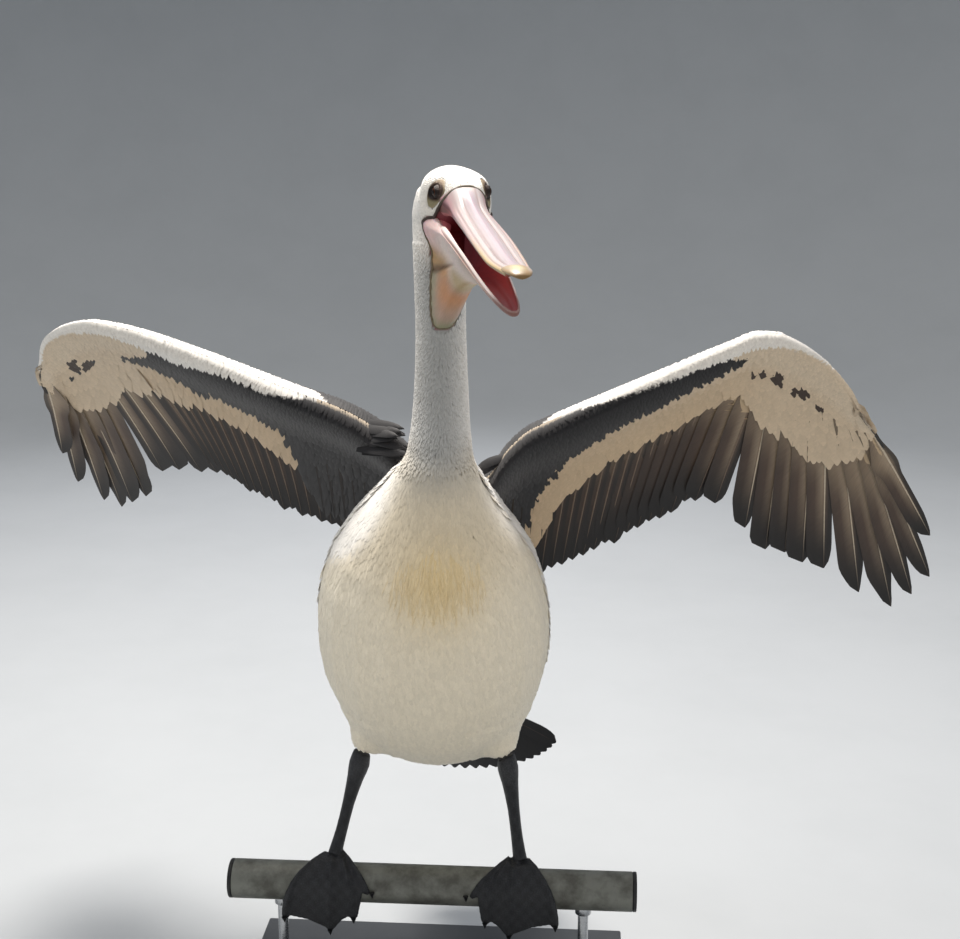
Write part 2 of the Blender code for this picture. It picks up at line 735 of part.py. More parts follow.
def make_perch(group):
    """The cut length of rail with a plug in each end."""
    bm = bmesh.new()
    turn = Matrix.Rotation(math.radians(90), 4, "Y")
    place = Matrix.Translation((0, 0, RAIL_HEIGHT)) @ turn
    bmesh.ops.create_cone(
        bm, cap_ends=True, segments=RAIL_SEGMENTS, radius1=RAIL_RADIUS, radius2=RAIL_RADIUS,
        depth=RAIL_LENGTH, matrix=place,
    )
    rail = add_object("perch_rail", bm, "rail_steel", group)
    for label, side in (("left", 1), ("right", -1)):
        bm = bmesh.new()
        x = side * (RAIL_LENGTH / 2 + CAP_DEPTH / 2 + GAP)
        bmesh.ops.create_cone(
            bm, cap_ends=True, segments=RAIL_SEGMENTS, radius1=RAIL_RADIUS, radius2=RAIL_RADIUS,
            depth=CAP_DEPTH, matrix=Matrix.Translation((x, 0, RAIL_HEIGHT)) @ turn,
        )
        outer = [e for e in bm.edges if all(abs(v.co.x) > abs(x) for v in e.verts)]
        bmesh.ops.bevel(
            bm, geom=outer, offset=CAP_DEPTH * 0.45, segments=1, profile=0.5,
            affect="EDGES", material=-1,
        )
        add_object(f"perch_cap_{label}", bm, "cap_plastic", group)
    return rail


def make_stand(group):
    """The flat base and the two rods under the rail."""
    bm = bmesh.new()
    scale = Matrix.Diagonal((*BASE_SIZE, 1.0))
    lift = Matrix.Translation((0, 0, BASE_SIZE[2] / 2))
    bmesh.ops.create_cube(bm, size=1.0, matrix=lift @ scale)
    top = [e for e in bm.edges if max(v.co.z for v in e.verts) > BASE_SIZE[2] / 2]
    bmesh.ops.bevel(
        bm, geom=top, offset=BASE_BEVEL, segments=2, profile=0.5,
        affect="EDGES", material=-1,
    )
    add_object("stand_base", bm, "stand_board", group)
    rods = []
    for label, side in (("left", 1), ("right", -1)):
        bm = bmesh.new()
        bottom = BASE_SIZE[2] + GAP
        height = RAIL_HEIGHT - bottom
        place = Matrix.Translation((side * ROD_X, 0, bottom + height / 2))
        bmesh.ops.create_cone(
            bm, cap_ends=True, segments=16, radius1=ROD_RADIUS, radius2=ROD_RADIUS,
            depth=height, matrix=place,
        )
        rods.append(add_object(f"stand_rod_{label}", bm, "rod_steel", group))
    return rods


def main():
    """Build every piece and cut each back to its neighbours."""
    clear_scene()
    group = new_collection(COLLECTION)
    cutters = new_collection("cutters")

    neck, trunk = make_body(group)
    head = make_head(group)
    trunk_cutter = grown_copy(trunk, cutters)
    neck_cutter = grown_copy(neck, cutters)
    head_cutter = grown_copy(head, cutters)
    trim(neck, head_cutter)

    eyes = [make_eye("eye_left", 1, group), make_eye("eye_right", -1, group)]
    trim(head, *[grown_copy(eye, cutters) for eye in eyes])

    bill = make_bill_upper(group)
    bill_cutter = grown_copy(bill, cutters)
    trim(bill, head_cutter)
    jaw = make_bill_lower(group)
    jaw_cutter = grown_copy(jaw, cutters)
    trim(jaw, head_cutter, neck_cutter, bill_cutter)
    pouch = make_pouch(group)
    trim(pouch, neck_cutter, head_cutter, bill_cutter, jaw_cutter)

    rail = make_perch(group)
    rail_cutter = grown_copy(rail, cutters)
    for rod in make_stand(group):
        trim(rod, rail_cutter)

    for label, side in (("left", 1), ("right", -1)):
        wing = make_wing(label, side, group)
        trim(wing[0], trunk_cutter, neck_cutter)
        scapulars = make_scapulars(label, side, group)
        wing_cutter = grown_copy(wing[0], cutters)
        trim(scapulars, trunk_cutter, neck_cutter, wing_cutter)
        thigh, leg = make_leg(label, side, group)
        foot = make_foot(label, side, group)
        thigh_cutter = grown_copy(thigh, cutters)
        trim(thigh, trunk_cutter)
        trim(foot, grown_copy(leg, cutters))
        trim(leg, trunk_cutter, thigh_cutter)

    tail = make_tail(group)
    trim(tail, trunk_cutter)


main()
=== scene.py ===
"""Looks of a life-size Australian pelican perched on a length of rail.

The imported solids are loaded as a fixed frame. One skin replaces the flesh, and
feathers are laid on it as joined vanes. The bill, pouch, eyes, feet, rail and
stand are modelled and dressed around the same frame. Units are metres and +Z
is up. The bird faces -Y, and its left side is +X.
"""

import logging
import math
from collections.abc import Callable
from dataclasses import dataclass, field
from enum import Enum

import bmesh
import bpy
import numpy as np
from mathutils import Matrix, Vector
from mathutils.bvhtree import BVHTree
from mathutils.kdtree import KDTree


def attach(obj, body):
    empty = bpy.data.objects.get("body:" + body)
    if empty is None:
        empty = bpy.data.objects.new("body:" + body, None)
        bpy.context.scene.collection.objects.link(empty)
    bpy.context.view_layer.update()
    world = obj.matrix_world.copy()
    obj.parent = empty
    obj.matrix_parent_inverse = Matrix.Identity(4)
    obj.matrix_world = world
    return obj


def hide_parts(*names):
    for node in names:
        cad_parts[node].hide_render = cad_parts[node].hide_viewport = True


Array = np.ndarray
BMesh = bmesh.types.BMesh
Pair = tuple[Array, Array]
Point = tuple[float, float, float]
Rows = tuple[tuple[float, ...], ...]
Gauge = Callable[[Array], Array]                # reads world points
Surface = Callable[[Array, Array], Array]       # reads shares u and v

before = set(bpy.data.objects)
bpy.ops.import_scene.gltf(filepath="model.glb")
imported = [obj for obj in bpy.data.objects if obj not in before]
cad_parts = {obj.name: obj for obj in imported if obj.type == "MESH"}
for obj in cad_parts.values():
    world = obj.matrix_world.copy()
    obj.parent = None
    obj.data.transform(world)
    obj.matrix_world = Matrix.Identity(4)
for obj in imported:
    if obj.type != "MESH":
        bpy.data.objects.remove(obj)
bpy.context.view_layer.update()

log = logging.getLogger("pelican")
BODY = "root"           # the one body that every piece rides on
PATCH = 0.003           # side of one tuft's patch on its unwrap
SEED = 7
CAST_FROM = 0.08        # how far from the head's middle rays to its skin start


class Side(Enum):
    """The bird's own left and right."""

    LEFT = 1
    RIGHT = -1

    @property
    def label(self) -> str:
        """Return the word that node names use."""
        return self.name.lower()


class WingFace(Enum):
    """The two faces of a wing."""

    UNDER = 1
    UPPER = -1


# --- Colour and finishes ---


def linear(colour: str) -> Array:
    """Return the linear colour of an sRGB hex value.

    Args:
        colour: Six hex digits after a hash sign.

    Returns:
        Red, green and blue from 0 to 1.
    """
    value = np.array([int(colour[i:i + 2], 16) for i in (1, 3, 5)]) / 255
    return np.where(value <= 0.04045, value / 12.92, ((value + 0.055) / 1.055) ** 2.4)


def preset(node: bpy.types.Node, inputs: dict) -> None:
    """Give a node's inputs their values and links.

    Args:
        node: The node.
        inputs: Values, output sockets, or nodes for their first output, by
            input name or number.
    """
    for key, value in inputs.items():
        if isinstance(value, bpy.types.Node):
            value = value.outputs[0]
        if isinstance(value, bpy.types.NodeSocket):
            node.id_data.links.new(value, node.inputs[key])
        else:
            node.inputs[key].default_value = value


def add_node(
    tree: bpy.types.NodeTree, kind: str, inputs: dict | None = None, **settings: object
) -> bpy.types.Node:
    """Add a shader node with its settings, values and links.

    Args:
        tree: The material's node tree.
        kind: The node's type, without the ShaderNode that starts each.
        inputs: What preset takes.
        **settings: Properties of the node itself.

    Returns:
        The new node.
    """
    node = tree.nodes.new(f"ShaderNode{kind}")
    for key, value in settings.items():
        setattr(node, key, value)
    preset(node, inputs or {})
    return node


@dataclass(frozen=True)
class Finish:
    """A surface finish, made once as a Principled material."""

    name: str
    colour: str
    roughness: float
    metallic: float = 0.0
    ior: float = 1.5

    def make(self) -> bpy.types.Material:
        """Return the material, made on its first use.

        Returns:
            The material.
        """
        found = bpy.data.materials.get(self.name)
        if found:
            return found
        material = bpy.data.materials.new(self.name)
        material.use_nodes = True
        tree = material.node_tree
        shader = tree.nodes["Principled BSDF"]
        preset(shader, {
            "Base Color": (*linear(self.colour), 1.0),
            "Roughness": self.roughness,
            "Metallic": self.metallic,
            "IOR": self.ior,
        })
        self.dress(tree, shader)
        return material

    def dress(self, tree: bpy.types.NodeTree, shader: bpy.types.Node) -> None:
        """Add the detail of the finish; a plain finish has none."""

    def tinted(
        self, tree: bpy.types.NodeTree, shader: bpy.types.Node,
        height: bpy.types.Node, contrast: float, depth: float,
    ) -> None:
        """Colour by the Tint attribute, varied and bumped by a pattern.

        Args:
            tree: The material's node tree.
            shader: Its Principled node.
            height: The pattern, from 0 to 1.
            contrast: How much the pattern darkens and lightens the tint.
            depth: The bump's depth in metres.
        """
        tint = add_node(tree, "Attribute", attribute_name="Tint")
        gain = add_node(tree, "MapRange", {
            "Value": height, "From Min": 0.25, "From Max": 0.75,
            "To Min": 1 - contrast, "To Max": 1 + 0.6 * contrast,
        })
        shade = add_node(
            tree, "VectorMath", {0: tint.outputs["Color"], "Scale": gain}, operation="SCALE"
        )
        bump = add_node(tree, "Bump", {"Height": height, "Strength": 0.6, "Distance": depth})
        preset(shader, {"Base Color": shade, "Normal": bump})


@dataclass(frozen=True)
class FeatherFinish(Finish):
    """Keratin barbs: matt, with fine lines that leave the shaft aslant.

    Real barbs are about 0.3 mm apart, too fine to show, so they are drawn in
    bundles of the given width.
    """

    barb_mm: float = 1.0
    barb_length_mm: float = 9.0
    slope: float = 2.2
    contrast: float = 0.10
    depth_mm: float = 0.25
    sheen: float = 0.25

    def dress(self, tree: bpy.types.NodeTree, shader: bpy.types.Node) -> None:
        """Draw barbs from the vane's own running distances.

        Args:
            tree: The material's node tree.
            shader: Its Principled node.
        """
        preset(shader, {"Sheen Weight": self.sheen, "Sheen Roughness": 0.5})
        vane = add_node(tree, "Attribute", attribute_name="Vane")
        parts = add_node(tree, "SeparateXYZ", {0: vane.outputs["Vector"]})
        out = add_node(tree, "Math", {0: parts}, operation="ABSOLUTE")
        slant = add_node(tree, "Math", {
            0: out, 1: -self.slope, 2: parts.outputs[1],
        }, operation="MULTIPLY_ADD")
        fast = add_node(tree, "Math", {
            0: slant, 1: 1000 / self.barb_mm / math.hypot(1, self.slope),
        }, operation="MULTIPLY")
        slow = add_node(tree, "Math", {
            0: parts.outputs[1], 1: 1000 / self.barb_length_mm,
        }, operation="MULTIPLY")
        apart = add_node(tree, "Math", {0: parts.outputs[2], 1: 40.0}, operation="MULTIPLY")
        place = add_node(tree, "CombineXYZ", {0: fast, 1: slow, 2: apart})
        barbs = add_node(tree, "TexNoise", {
            "Vector": place, "Scale": 1.0, "Detail": 2.0, "Roughness": 0.6,
        })
        self.tinted(tree, shader, barbs, self.contrast, self.depth_mm / 1000)


@dataclass(frozen=True)
class GrainFinish(Finish):
    """A tinted surface with an even grain, such as skin, down or horn.

    The grain's size is real: pores of skin are 0.5 to 1 mm apart, and scutes
    on a leg are 2 to 4 mm.
    """

    grain_mm: float = 1.0
    stretch: Point = (1.0, 1.0, 1.0)
    contrast: float = 0.10
    depth_mm: float = 0.2
    cells: bool = False
    flow: bool = False
    coat: float = 0.0
    subsurface: float = 0.0
    glow: float = 0.0

    def dress(self, tree: bpy.types.NodeTree, shader: bpy.types.Node) -> None:
        """Lay the grain in the object's own space or along its flow.

        Args:
            tree: The material's node tree.
            shader: Its Principled node.
        """
        preset(shader, {
            "Coat Weight": self.coat,
            "Coat Roughness": 0.15,
            "Subsurface Weight": self.subsurface,
            "Subsurface Scale": 0.004,
            "Emission Color": (*linear(self.colour), 1.0),
            "Emission Strength": self.glow,
        })
        if self.flow:
            vector = add_node(tree, "Attribute", attribute_name="Vane").outputs["Vector"]
        else:
            vector = add_node(tree, "TexCoord").outputs["Object"]
        scale = [1000 / self.grain_mm / s for s in self.stretch]
        place = add_node(tree, "Mapping", {"Vector": vector, "Scale": scale})
        if self.cells:
            edges = add_node(
                tree, "TexVoronoi", {"Vector": place, "Scale": 1.0}, feature="DISTANCE_TO_EDGE"
            )
            height = add_node(tree, "MapRange", {
                "Value": edges.outputs["Distance"], "From Max": 0.28,
            }, interpolation_type="SMOOTHSTEP")
        else:
            height = add_node(tree, "TexNoise", {
                "Vector": place, "Scale": 1.0, "Detail": 4.0, "Roughness": 0.6,
            })
        self.tinted(tree, shader, height, self.contrast, self.depth_mm / 1000)


@dataclass(frozen=True)
class WornFinish(Finish):
    """Metal, paint or plastic with patches of wear over a fine grain."""

    worn: str = "#808080"
    patch_mm: float = 30.0
    grain_mm: float = 1.0
    stretch: Point = (1.0, 1.0, 1.0)
    wear: float = 0.5
    depth_mm: float = 0.1

    def dress(self, tree: bpy.types.NodeTree, shader: bpy.types.Node) -> None:
        """Mix the worn colour in by patches and bump the grain.

        Args:
            tree: The material's node tree.
            shader: Its Principled node.
        """
        space = add_node(tree, "TexCoord").outputs["Object"]
        scale = [1 / s for s in self.stretch]
        place = add_node(tree, "Mapping", {"Vector": space, "Scale": scale})
        patches = add_node(tree, "TexNoise", {
            "Vector": place, "Scale": 1000 / self.patch_mm, "Detail": 6.0,
            "Roughness": 0.65,
        })
        grain = add_node(tree, "TexNoise", {
            "Vector": place, "Scale": 1000 / self.grain_mm, "Detail": 2.0,
        })
        share = add_node(tree, "MapRange", {
            "Value": patches, "From Min": 0.42, "From Max": 0.68, "To Max": self.wear,
        })
        mixed = add_node(tree, "Mix", {
            "Factor": share,
            6: (*linear(self.colour), 1.0), 7: (*linear(self.worn), 1.0),
        }, data_type="RGBA")
        rough = add_node(tree, "MapRange", {
            "Value": grain, "To Min": self.roughness - 0.08, "To Max": self.roughness + 0.10,
        })
        bump = add_node(tree, "Bump", {
            "Height": grain, "Strength": 0.4, "Distance": self.depth_mm / 1000,
        })
        preset(shader, {"Base Color": mixed.outputs[2], "Roughness": rough, "Normal": bump})


# Small body feathers: soft and matt, barbs loose and nearly along the shaft.
SOFT_FEATHER = FeatherFinish("contour_feather_keratin", "#f2efe8", 0.78)
# Coverts: firmer, with a closed vane.
COVERT_FEATHER = FeatherFinish(
    "covert_feather_keratin", "#d8cbb5", 0.66, barb_mm=1.1, slope=1.4, contrast=0.12
)
# Flight feathers: stiff closed vanes with a low gloss and clear barbs.
FLIGHT_FEATHER = FeatherFinish(
    "flight_feather_keratin", "#4a3d34", 0.50, barb_mm=1.5, barb_length_mm=22,
    slope=1.1, contrast=0.20, depth_mm=0.30, sheen=0.10,
)
# Down and bare skin under the feathers: dull and even.
DOWN = GrainFinish("down_on_skin", "#e8e4da", 0.85, grain_mm=1.2, depth_mm=0.4)
# Bare leg skin: dry slate-black scutes with a faint shine on their tops.
LEG_SCUTES = GrainFinish(
    "scutate_leg_skin", "#26272a", 0.52, grain_mm=3.2, cells=True, contrast=0.32,
    depth_mm=0.5,
)
# Bill horn: satin keratin with faint lengthwise growth lines.
BILL_HORN = GrainFinish(
    "bill_keratin", "#d3bfba", 0.44, ior=1.54, grain_mm=1.4, stretch=(1.0, 26.0, 1.0),
    contrast=0.08, depth_mm=0.12, flow=True, coat=0.05, subsurface=0.06,
)
# Pouch skin: thin, creased along the jaw, a little translucent.
POUCH_SKIN = GrainFinish(
    "gular_pouch_skin", "#c79a78", 0.46, grain_mm=2.4, stretch=(1.0, 5.0, 1.0),
    contrast=0.14, depth_mm=0.5, flow=True, subsurface=0.12,
)
# Mouth lining: wet and smooth, with a faint painted glow that stands in for the light coming through the
# skin.
MOUTH_LINING = GrainFinish(
    "wet_mouth_lining", "#a8545e", 0.32, grain_mm=3.0, stretch=(1.0, 6.0, 1.0),
    contrast=0.22, depth_mm=0.5, flow=True, coat=0.3, glow=0.085,
)
# Bare skin round the eye and at the feather line: fine papillae.
BARE_SKIN = GrainFinish(
    "bare_face_skin", "#4b3b2c", 0.55, grain_mm=0.9, cells=True, contrast=0.20,
    depth_mm=0.2,
)
# Eye: polished glass as museums set, with the iris behind a clear front.
EYE_GLASS = GrainFinish(
    "painted_glass_eye", "#2a160d", 0.10, ior=1.40, grain_mm=0.5, contrast=0.25,
    depth_mm=0.0,
)
# Claws: black horn.
CLAW_HORN = GrainFinish("claw_keratin", "#17181a", 0.35, grain_mm=0.8, depth_mm=0.05)
# Galvanised steel tube left out in sea air: dull grey with darker stains.
ZINC = WornFinish(
    "weathered_galvanised_steel", "#84867f", 0.52, metallic=0.55, worn="#4c4a44",
    patch_mm=38, grain_mm=0.9, wear=0.75, depth_mm=0.15,
)
# Moulded polythene plugs.
PLUG = WornFinish(
    "moulded_polythene", "#1b1c1d", 0.45, worn="#2c2d2e", patch_mm=8, grain_mm=0.5
)
# Satin paint rolled on board: a faint orange peel.
BOARD_PAINT = WornFinish(
    "rolled_satin_paint", "#3a3d41", 0.42, worn="#44474b", patch_mm=60, grain_mm=1.8,
    wear=0.5, depth_mm=0.12,
)
# Turned stainless rod with fine lines round it.
ROD_STEEL = WornFinish(
    "turned_stainless_steel", "#b9bbbd", 0.24, metallic=1.0, worn="#a2a4a6",
    patch_mm=14, grain_mm=0.8, stretch=(6.0, 6.0, 0.5), depth_mm=0.03,
)
# Studio floor: pale matt paper.
FLOOR_PAPER = WornFinish(
    "matt_backdrop_paper", "#b3b7ba", 0.90, worn="#adb1b4", patch_mm=400, grain_mm=3
)


@dataclass(frozen=True)
class Tints:
    """The colours of the bird's plumage and bare parts, as sRGB hex, some with painted light and shade
    in them.
    """

    white: str = "#f3f0ea"
    cream: str = "#f0e6cf"
    plume: str = "#ecd195"
    # painted shade: the white front of the neck as it looks in shade
    foreneck_shade: str = "#a6a9aa"
    hindneck: str = "#cfcbc6"
    black: str = "#18171a"
    # black with a painted grey sheen
    grey_sheen_black: str = "#2c2a2c"
    # tan and pale_tan: the pale under-wing coverts drawn darker and warmer, as they look in shade;
    # partly their colour, partly painted shade
    tan: str = "#cdb595"
    pale_tan: str = "#dccbb3"
    spot: str = "#3a2b22"
    quill_root: str = "#8c7963"
    quill_mid: str = "#4e3c30"
    quill_tip: str = "#120e0c"
    # painted highlight beside the shafts of the hand's feathers
    quill_highlight: str = "#a8967f"
    quill_edge: str = "#1b1817"
    shaft: str = "#cdbfa9"
    shaft_dark: str = "#3a2f28"
    upper_quill: str = "#171618"


TINTS = Tints()

# --- Curves, sheets and joined vanes ---


def smooth_rows(rows: object, per_span: int) -> Array:
    """Return a Catmull-Rom curve through rows of numbers.

    Args:
        rows: The rows that the curve passes through.
        per_span: Steps between two rows.

    Returns:
        The curve's rows, ends included.
    """
    points = np.array(rows, float)
    padded = np.vstack([2 * points[:1] - points[1:2], points, 2 * points[-1:] - points[-2:-1]])
    t = (np.arange(per_span) / per_span).reshape((-1,) + (1,) * (points.ndim - 1))
    spans = []
    for a, b, c, d in zip(padded, padded[1:], padded[2:], padded[3:]):
        spans.append(0.5 * (
            2 * b + (c - a) * t
            + (2 * a - 5 * b + 4 * c - d) * t ** 2
            + (3 * b - a - 3 * c + d) * t ** 3
        ))
    return np.concatenate(spans + [points[-1:]])


def unit(vectors: Array) -> Array:
    """Return vectors scaled to length one."""
    size = np.linalg.norm(vectors, axis=-1, keepdims=True)
    return vectors / np.maximum(size, 1e-12)


def pairs(first: Array | float, second: Array | float) -> Array:
    """Return rows of two from two lists of numbers, or a list and one number."""
    return np.stack(np.broadcast_arrays(first, second), axis=1)


def eased(loop: Array) -> Array:
    """Return a closed loop with each point drawn towards its neighbours."""
    return 0.25 * np.roll(loop, 1, axis=0) + 0.5 * loop + 0.25 * np.roll(loop, -1, axis=0)


def blend3(ends: Point, t: Array) -> Array:
    """Return a parabola through values at the start, middle and end."""
    start, middle, end = ends
    return start * (1 - t) * (1 - 2 * t) + middle * 4 * t * (1 - t) + end * t * (2 * t - 1)


def ramp(value: Array, low: float, high: float) -> Array:
    """Return a smooth step from 0 at low to 1 at high."""
    t = np.clip((value - low) / (high - low), 0, 1)
    return t * t * (3 - 2 * t)


def bell(value: Array, middle: float, width: float) -> Array:
    """Return a bell curve, 1 at its middle."""
    return np.exp(-((value - middle) / width) ** 2)


def mix(first: Array | str, second: Array | str, share: Array | float) -> Array:
    """Return two colours, or other rows of numbers, mixed by a share for each place.

    Args:
        first: Linear colours, or one as sRGB hex.
        second: The same, for what is mixed in.
        share: The second's share, from 0 to 1.

    Returns:
        The mixture.
    """
    first, second = (linear(part) if isinstance(part, str) else part for part in (first, second))
    share = np.asarray(share)[..., None]
    return first * (1 - share) + second * share


def layered(colour: Array | str, *layers: tuple[Array | str, Array]) -> Array:
    """Return a colour with others laid over it in turn by their shares.

    Args:
        colour: Linear colours, or one as sRGB hex.
        *layers: Pairs of a colour and its shares.

    Returns:
        Linear colours.
    """
    for tint, share in layers:
        colour = mix(colour, tint, share)
    return colour


class Sheet:
    """A wing's smooth surface over two running shares: u outward, v across."""

    def __init__(self, points: Array, outward: float) -> None:
        """Keep the points and work out their directions.

        Args:
            points: An array of u by v by three.
            outward: 1 or -1, which turns the normals outward.
        """
        self.points = points
        count_u, count_v = points.shape[:2]
        per_u = np.gradient(points, axis=0) * (count_u - 1)
        per_v = np.gradient(points, axis=1) * (count_v - 1)
        self.normals = unit(np.cross(per_u, per_v)) * outward

    def at(self, u: Array, v: Array) -> Pair:
        """Return points and normals at places on the sheet.

        Args:
            u: Shares along the sheet; beyond its ends it runs on straight.
            v: Shares across it.

        Returns:
            The points and the unit normals.
        """
        count_u, count_v = self.points.shape[:2]
        x = np.clip(u, -0.2, 1.2) * (count_u - 1)
        i = np.clip(np.floor(x).astype(int), 0, count_u - 2)
        fx = (x - i)[..., None]
        y = np.clip(v, -0.1, 1.1) * (count_v - 1)
        j = np.clip(np.floor(y).astype(int), 0, count_v - 2)
        fy = (y - j)[..., None]
        found = []
        for table in (self.points, self.normals):
            near = table[i, j] * (1 - fy) + table[i, j + 1] * fy
            far = table[i + 1, j] * (1 - fy) + table[i + 1, j + 1] * fy
            found.append(near * (1 - fx) + far * fx)
        return found[0], unit(found[1])


@dataclass(frozen=True)
class Vane:
    """The outline and section of one kind of feather.

    widths holds (share of the length, share of the half width) pairs, and
    section the points round a cut across it, as share of the half width and
    share of the thickness.
    """

    steps: int
    widths: Rows
    section: Rows = ((-1.0, 0.0), (0.0, 1.0), (1.0, 0.0))
    cup: float = 0.0

    @property
    def stations(self) -> Array:
        """Return the shares of the length at which sections stand."""
        return np.linspace(0, 1, self.steps)

    def outline(self) -> Array:
        """Return the share of the half width at each station."""
        places, sizes = zip(*self.widths)
        return np.interp(self.stations, places, sizes)


TUFT = Vane(5, ((0, 0.35), (0.25, 0.85), (0.55, 1.0), (0.8, 0.72), (1.0, 0.10)))
ROUND_TUFT = Vane(6, ((0, 0.35), (0.2, 0.8), (0.5, 1.0), (0.8, 0.95), (0.93, 0.6), (1, 0.15)))
LANCE = Vane(7, ((0, 0.4), (0.2, 0.9), (0.45, 1.0), (0.75, 0.62), (1.0, 0.04)))
FLAT_SECTION = (
    (-1.0, 0.25), (-0.55, 0.5), (-0.12, 0.5), (0.12, 0.5), (0.55, 0.5), (1.0, 0.25),
    (1.0, -0.25), (0.55, -0.5), (0.12, -0.5), (-0.12, -0.5), (-0.55, -0.5), (-1.0, -0.25),
)
HEX_SECTION = (
    (-1.0, 0.0), (-0.5, 0.87), (0.5, 0.87), (1.0, 0.0), (0.5, -0.87), (-0.5, -0.87),
)


class Coat:
    """Feathers gathered into one joined mesh."""

    def __init__(self, name: str, finish: Finish, slot: str) -> None:
        """Start an empty coat.

        Args:
            name: The piece's name.
            finish: Its finish.
            slot: The record's material slot for the piece; it is stored but not used.
        """
        self.name = name
        self.finish = finish
        self.slot = slot
        self.points: list[Array] = []
        self.quads: list[Array] = []
        self.caps: list[Array] = []
        self.tints: list[Array] = []
        self.vanes: list[Array] = []
        self.uvs: list[Array] = []
        self.total = 0

    def add(
        self,
        centre: Array,
        out: Array,
        half: Pair,
        thick: Array,
        tint: Array,
        place: Array,
        vane: Vane,
        patch: Array | float = PATCH,
        roll: Array | float = 0.0,
    ) -> None:
        """Add a batch of feathers.

        Args:
            centre: Points along each shaft, feathers by stations by three.
            out: Directions off the body at those points.
            half: Half widths to the left and right, feathers by stations.
            thick: Thickness at the stations.
            tint: Colours, broadcast to feathers by stations by section points.
            place: Each root's place on the unwrap, feathers by two.
            vane: The section and cup of the feathers.
            patch: Size of each feather's patch on the unwrap.
            roll: Turn about the shaft, in radians.
        """
        count, steps = centre.shape[:2]
        along = unit(np.gradient(centre, axis=1))
        side = unit(np.cross(along, out))
        out = np.cross(side, along)
        roll = np.asarray(roll, float).reshape(-1, 1, 1) * np.ones((count, 1, 1))
        side, out = (
            side * np.cos(roll) + out * np.sin(roll),
            out * np.cos(roll) - side * np.sin(roll),
        )
        section = np.array(vane.section)
        across = section[:, 0]
        left, right = (np.broadcast_to(h, (count, steps))[..., None] for h in half)
        width = np.where(across < 0, left * across, right * across)
        thick = np.broadcast_to(thick, (count, steps))[..., None]
        span = np.maximum(left, right)
        rise = thick * section[:, 1] - vane.cup * width ** 2 / np.maximum(span, 1e-6)
        points = (
            centre[:, :, None] + side[:, :, None] * width[..., None]
            + out[:, :, None] * rise[..., None]
        )
        size = section.shape[0]
        first = np.arange(count)[:, None, None] * steps * size
        ring = np.arange(steps - 1)[:, None] * size
        turn = np.arange(size)
        corner = first + ring + turn
        after = first + ring + (turn + 1) % size
        quads = np.stack([corner, after, after + size, corner + size], axis=-1)
        self.quads.append(quads.reshape(-1, 4) + self.total)
        start = first[:, :, 0] + turn[::-1]
        end = first[:, :, 0] + (steps - 1) * size + turn
        self.caps.append(np.concatenate([start, end]) + self.total)
        self.points.append(points.reshape(-1, 3))
        self.total += count * steps * size
        shape = (count, steps, size)
        self.tints.append(np.broadcast_to(tint, shape + (3,)).reshape(-1, 3))
        step = np.linalg.norm(np.diff(centre, axis=1), axis=-1)
        run = np.concatenate([np.zeros((count, 1)), np.cumsum(step, axis=1)], axis=1)
        chance = np.random.default_rng(SEED + count).random(count)
        self.vanes.append(np.stack([
            np.broadcast_to(width, shape),
            np.broadcast_to(run[..., None], shape),
            np.broadcast_to(chance[:, None, None], shape),
        ], axis=-1).reshape(-1, 3))
        patch = np.broadcast_to(np.asarray(patch, float), (count, 2))[:, None, None]
        spot = np.stack([
            np.broadcast_to(across * 0.5 + 0.5, shape),
            np.broadcast_to(np.linspace(0, 1, steps)[:, None], shape),
        ], axis=-1)
        self.uvs.append((place[:, None, None] + spot * patch).reshape(-1, 2))

    def finish_piece(self, replaced: tuple[str, ...] = ()) -> None:
        """Make the joined mesh and hand it to the frame.

        Args:
            replaced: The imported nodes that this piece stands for.
        """
        points = np.concatenate(self.points)
        quads = np.concatenate(self.quads)
        corners = [quads.ravel()] + [cap.ravel() for cap in self.caps]
        sizes = [np.full(len(quads), 4)]
        sizes += [np.full(len(cap), cap.shape[1]) for cap in self.caps]
        corners = np.concatenate(corners).astype(np.int32)
        sizes = np.concatenate(sizes)
        starts = np.concatenate([[0], np.cumsum(sizes)[:-1]]).astype(np.int32)
        mesh = bpy.data.meshes.new(self.name)
        mesh.vertices.add(len(points))
        mesh.vertices.foreach_set("co", points.astype(np.float32).ravel())
        mesh.loops.add(len(corners))
        mesh.loops.foreach_set("vertex_index", corners)
        mesh.polygons.add(len(starts))
        mesh.polygons.foreach_set("loop_start", starts)
        mesh.update(calc_edges=True)
        set_attribute(mesh, "Tint", np.concatenate(self.tints))
        set_attribute(mesh, "Vane", np.concatenate(self.vanes))
        layer = mesh.uv_layers.new(name="OFBake")
        spots = np.clip(np.concatenate(self.uvs), 0, 1)[corners]
        layer.uv.foreach_set("vector", spots.astype(np.float32).ravel())
        mesh.shade_smooth()
        mesh.set_sharp_from_angle(angle=math.radians(60))
        triangles = int((sizes - 2).sum())
        hand_over(self.name, mesh, [self.finish], replaced, triangles)


def set_attribute(mesh: bpy.types.Mesh, name: str, values: Array) -> None:
    """Store a vector, or for Tint an opaque colour, for each point of a mesh.

    Args:
        mesh: The mesh.
        name: The attribute's name.
        values: Three numbers for each point.
    """
    kind, key = ("FLOAT_COLOR", "color") if name == "Tint" else ("FLOAT_VECTOR", "vector")
    if name == "Tint":
        values = np.concatenate([values, np.ones((len(values), 1))], axis=1)
    layer = mesh.attributes.new(name, kind, "POINT")
    layer.data.foreach_set(key, values.astype(np.float32).ravel())


def new_object(name: str, data: bpy.types.ID) -> bpy.types.Object:
    """Return a new object in the scene that holds some data.

    Args:
        name: Its name.
        data: The mesh, lamp or camera that it holds.

    Returns:
        The object.
    """
    made = bpy.data.objects.new(name, data)
    bpy.context.scene.collection.objects.link(made)
    return made


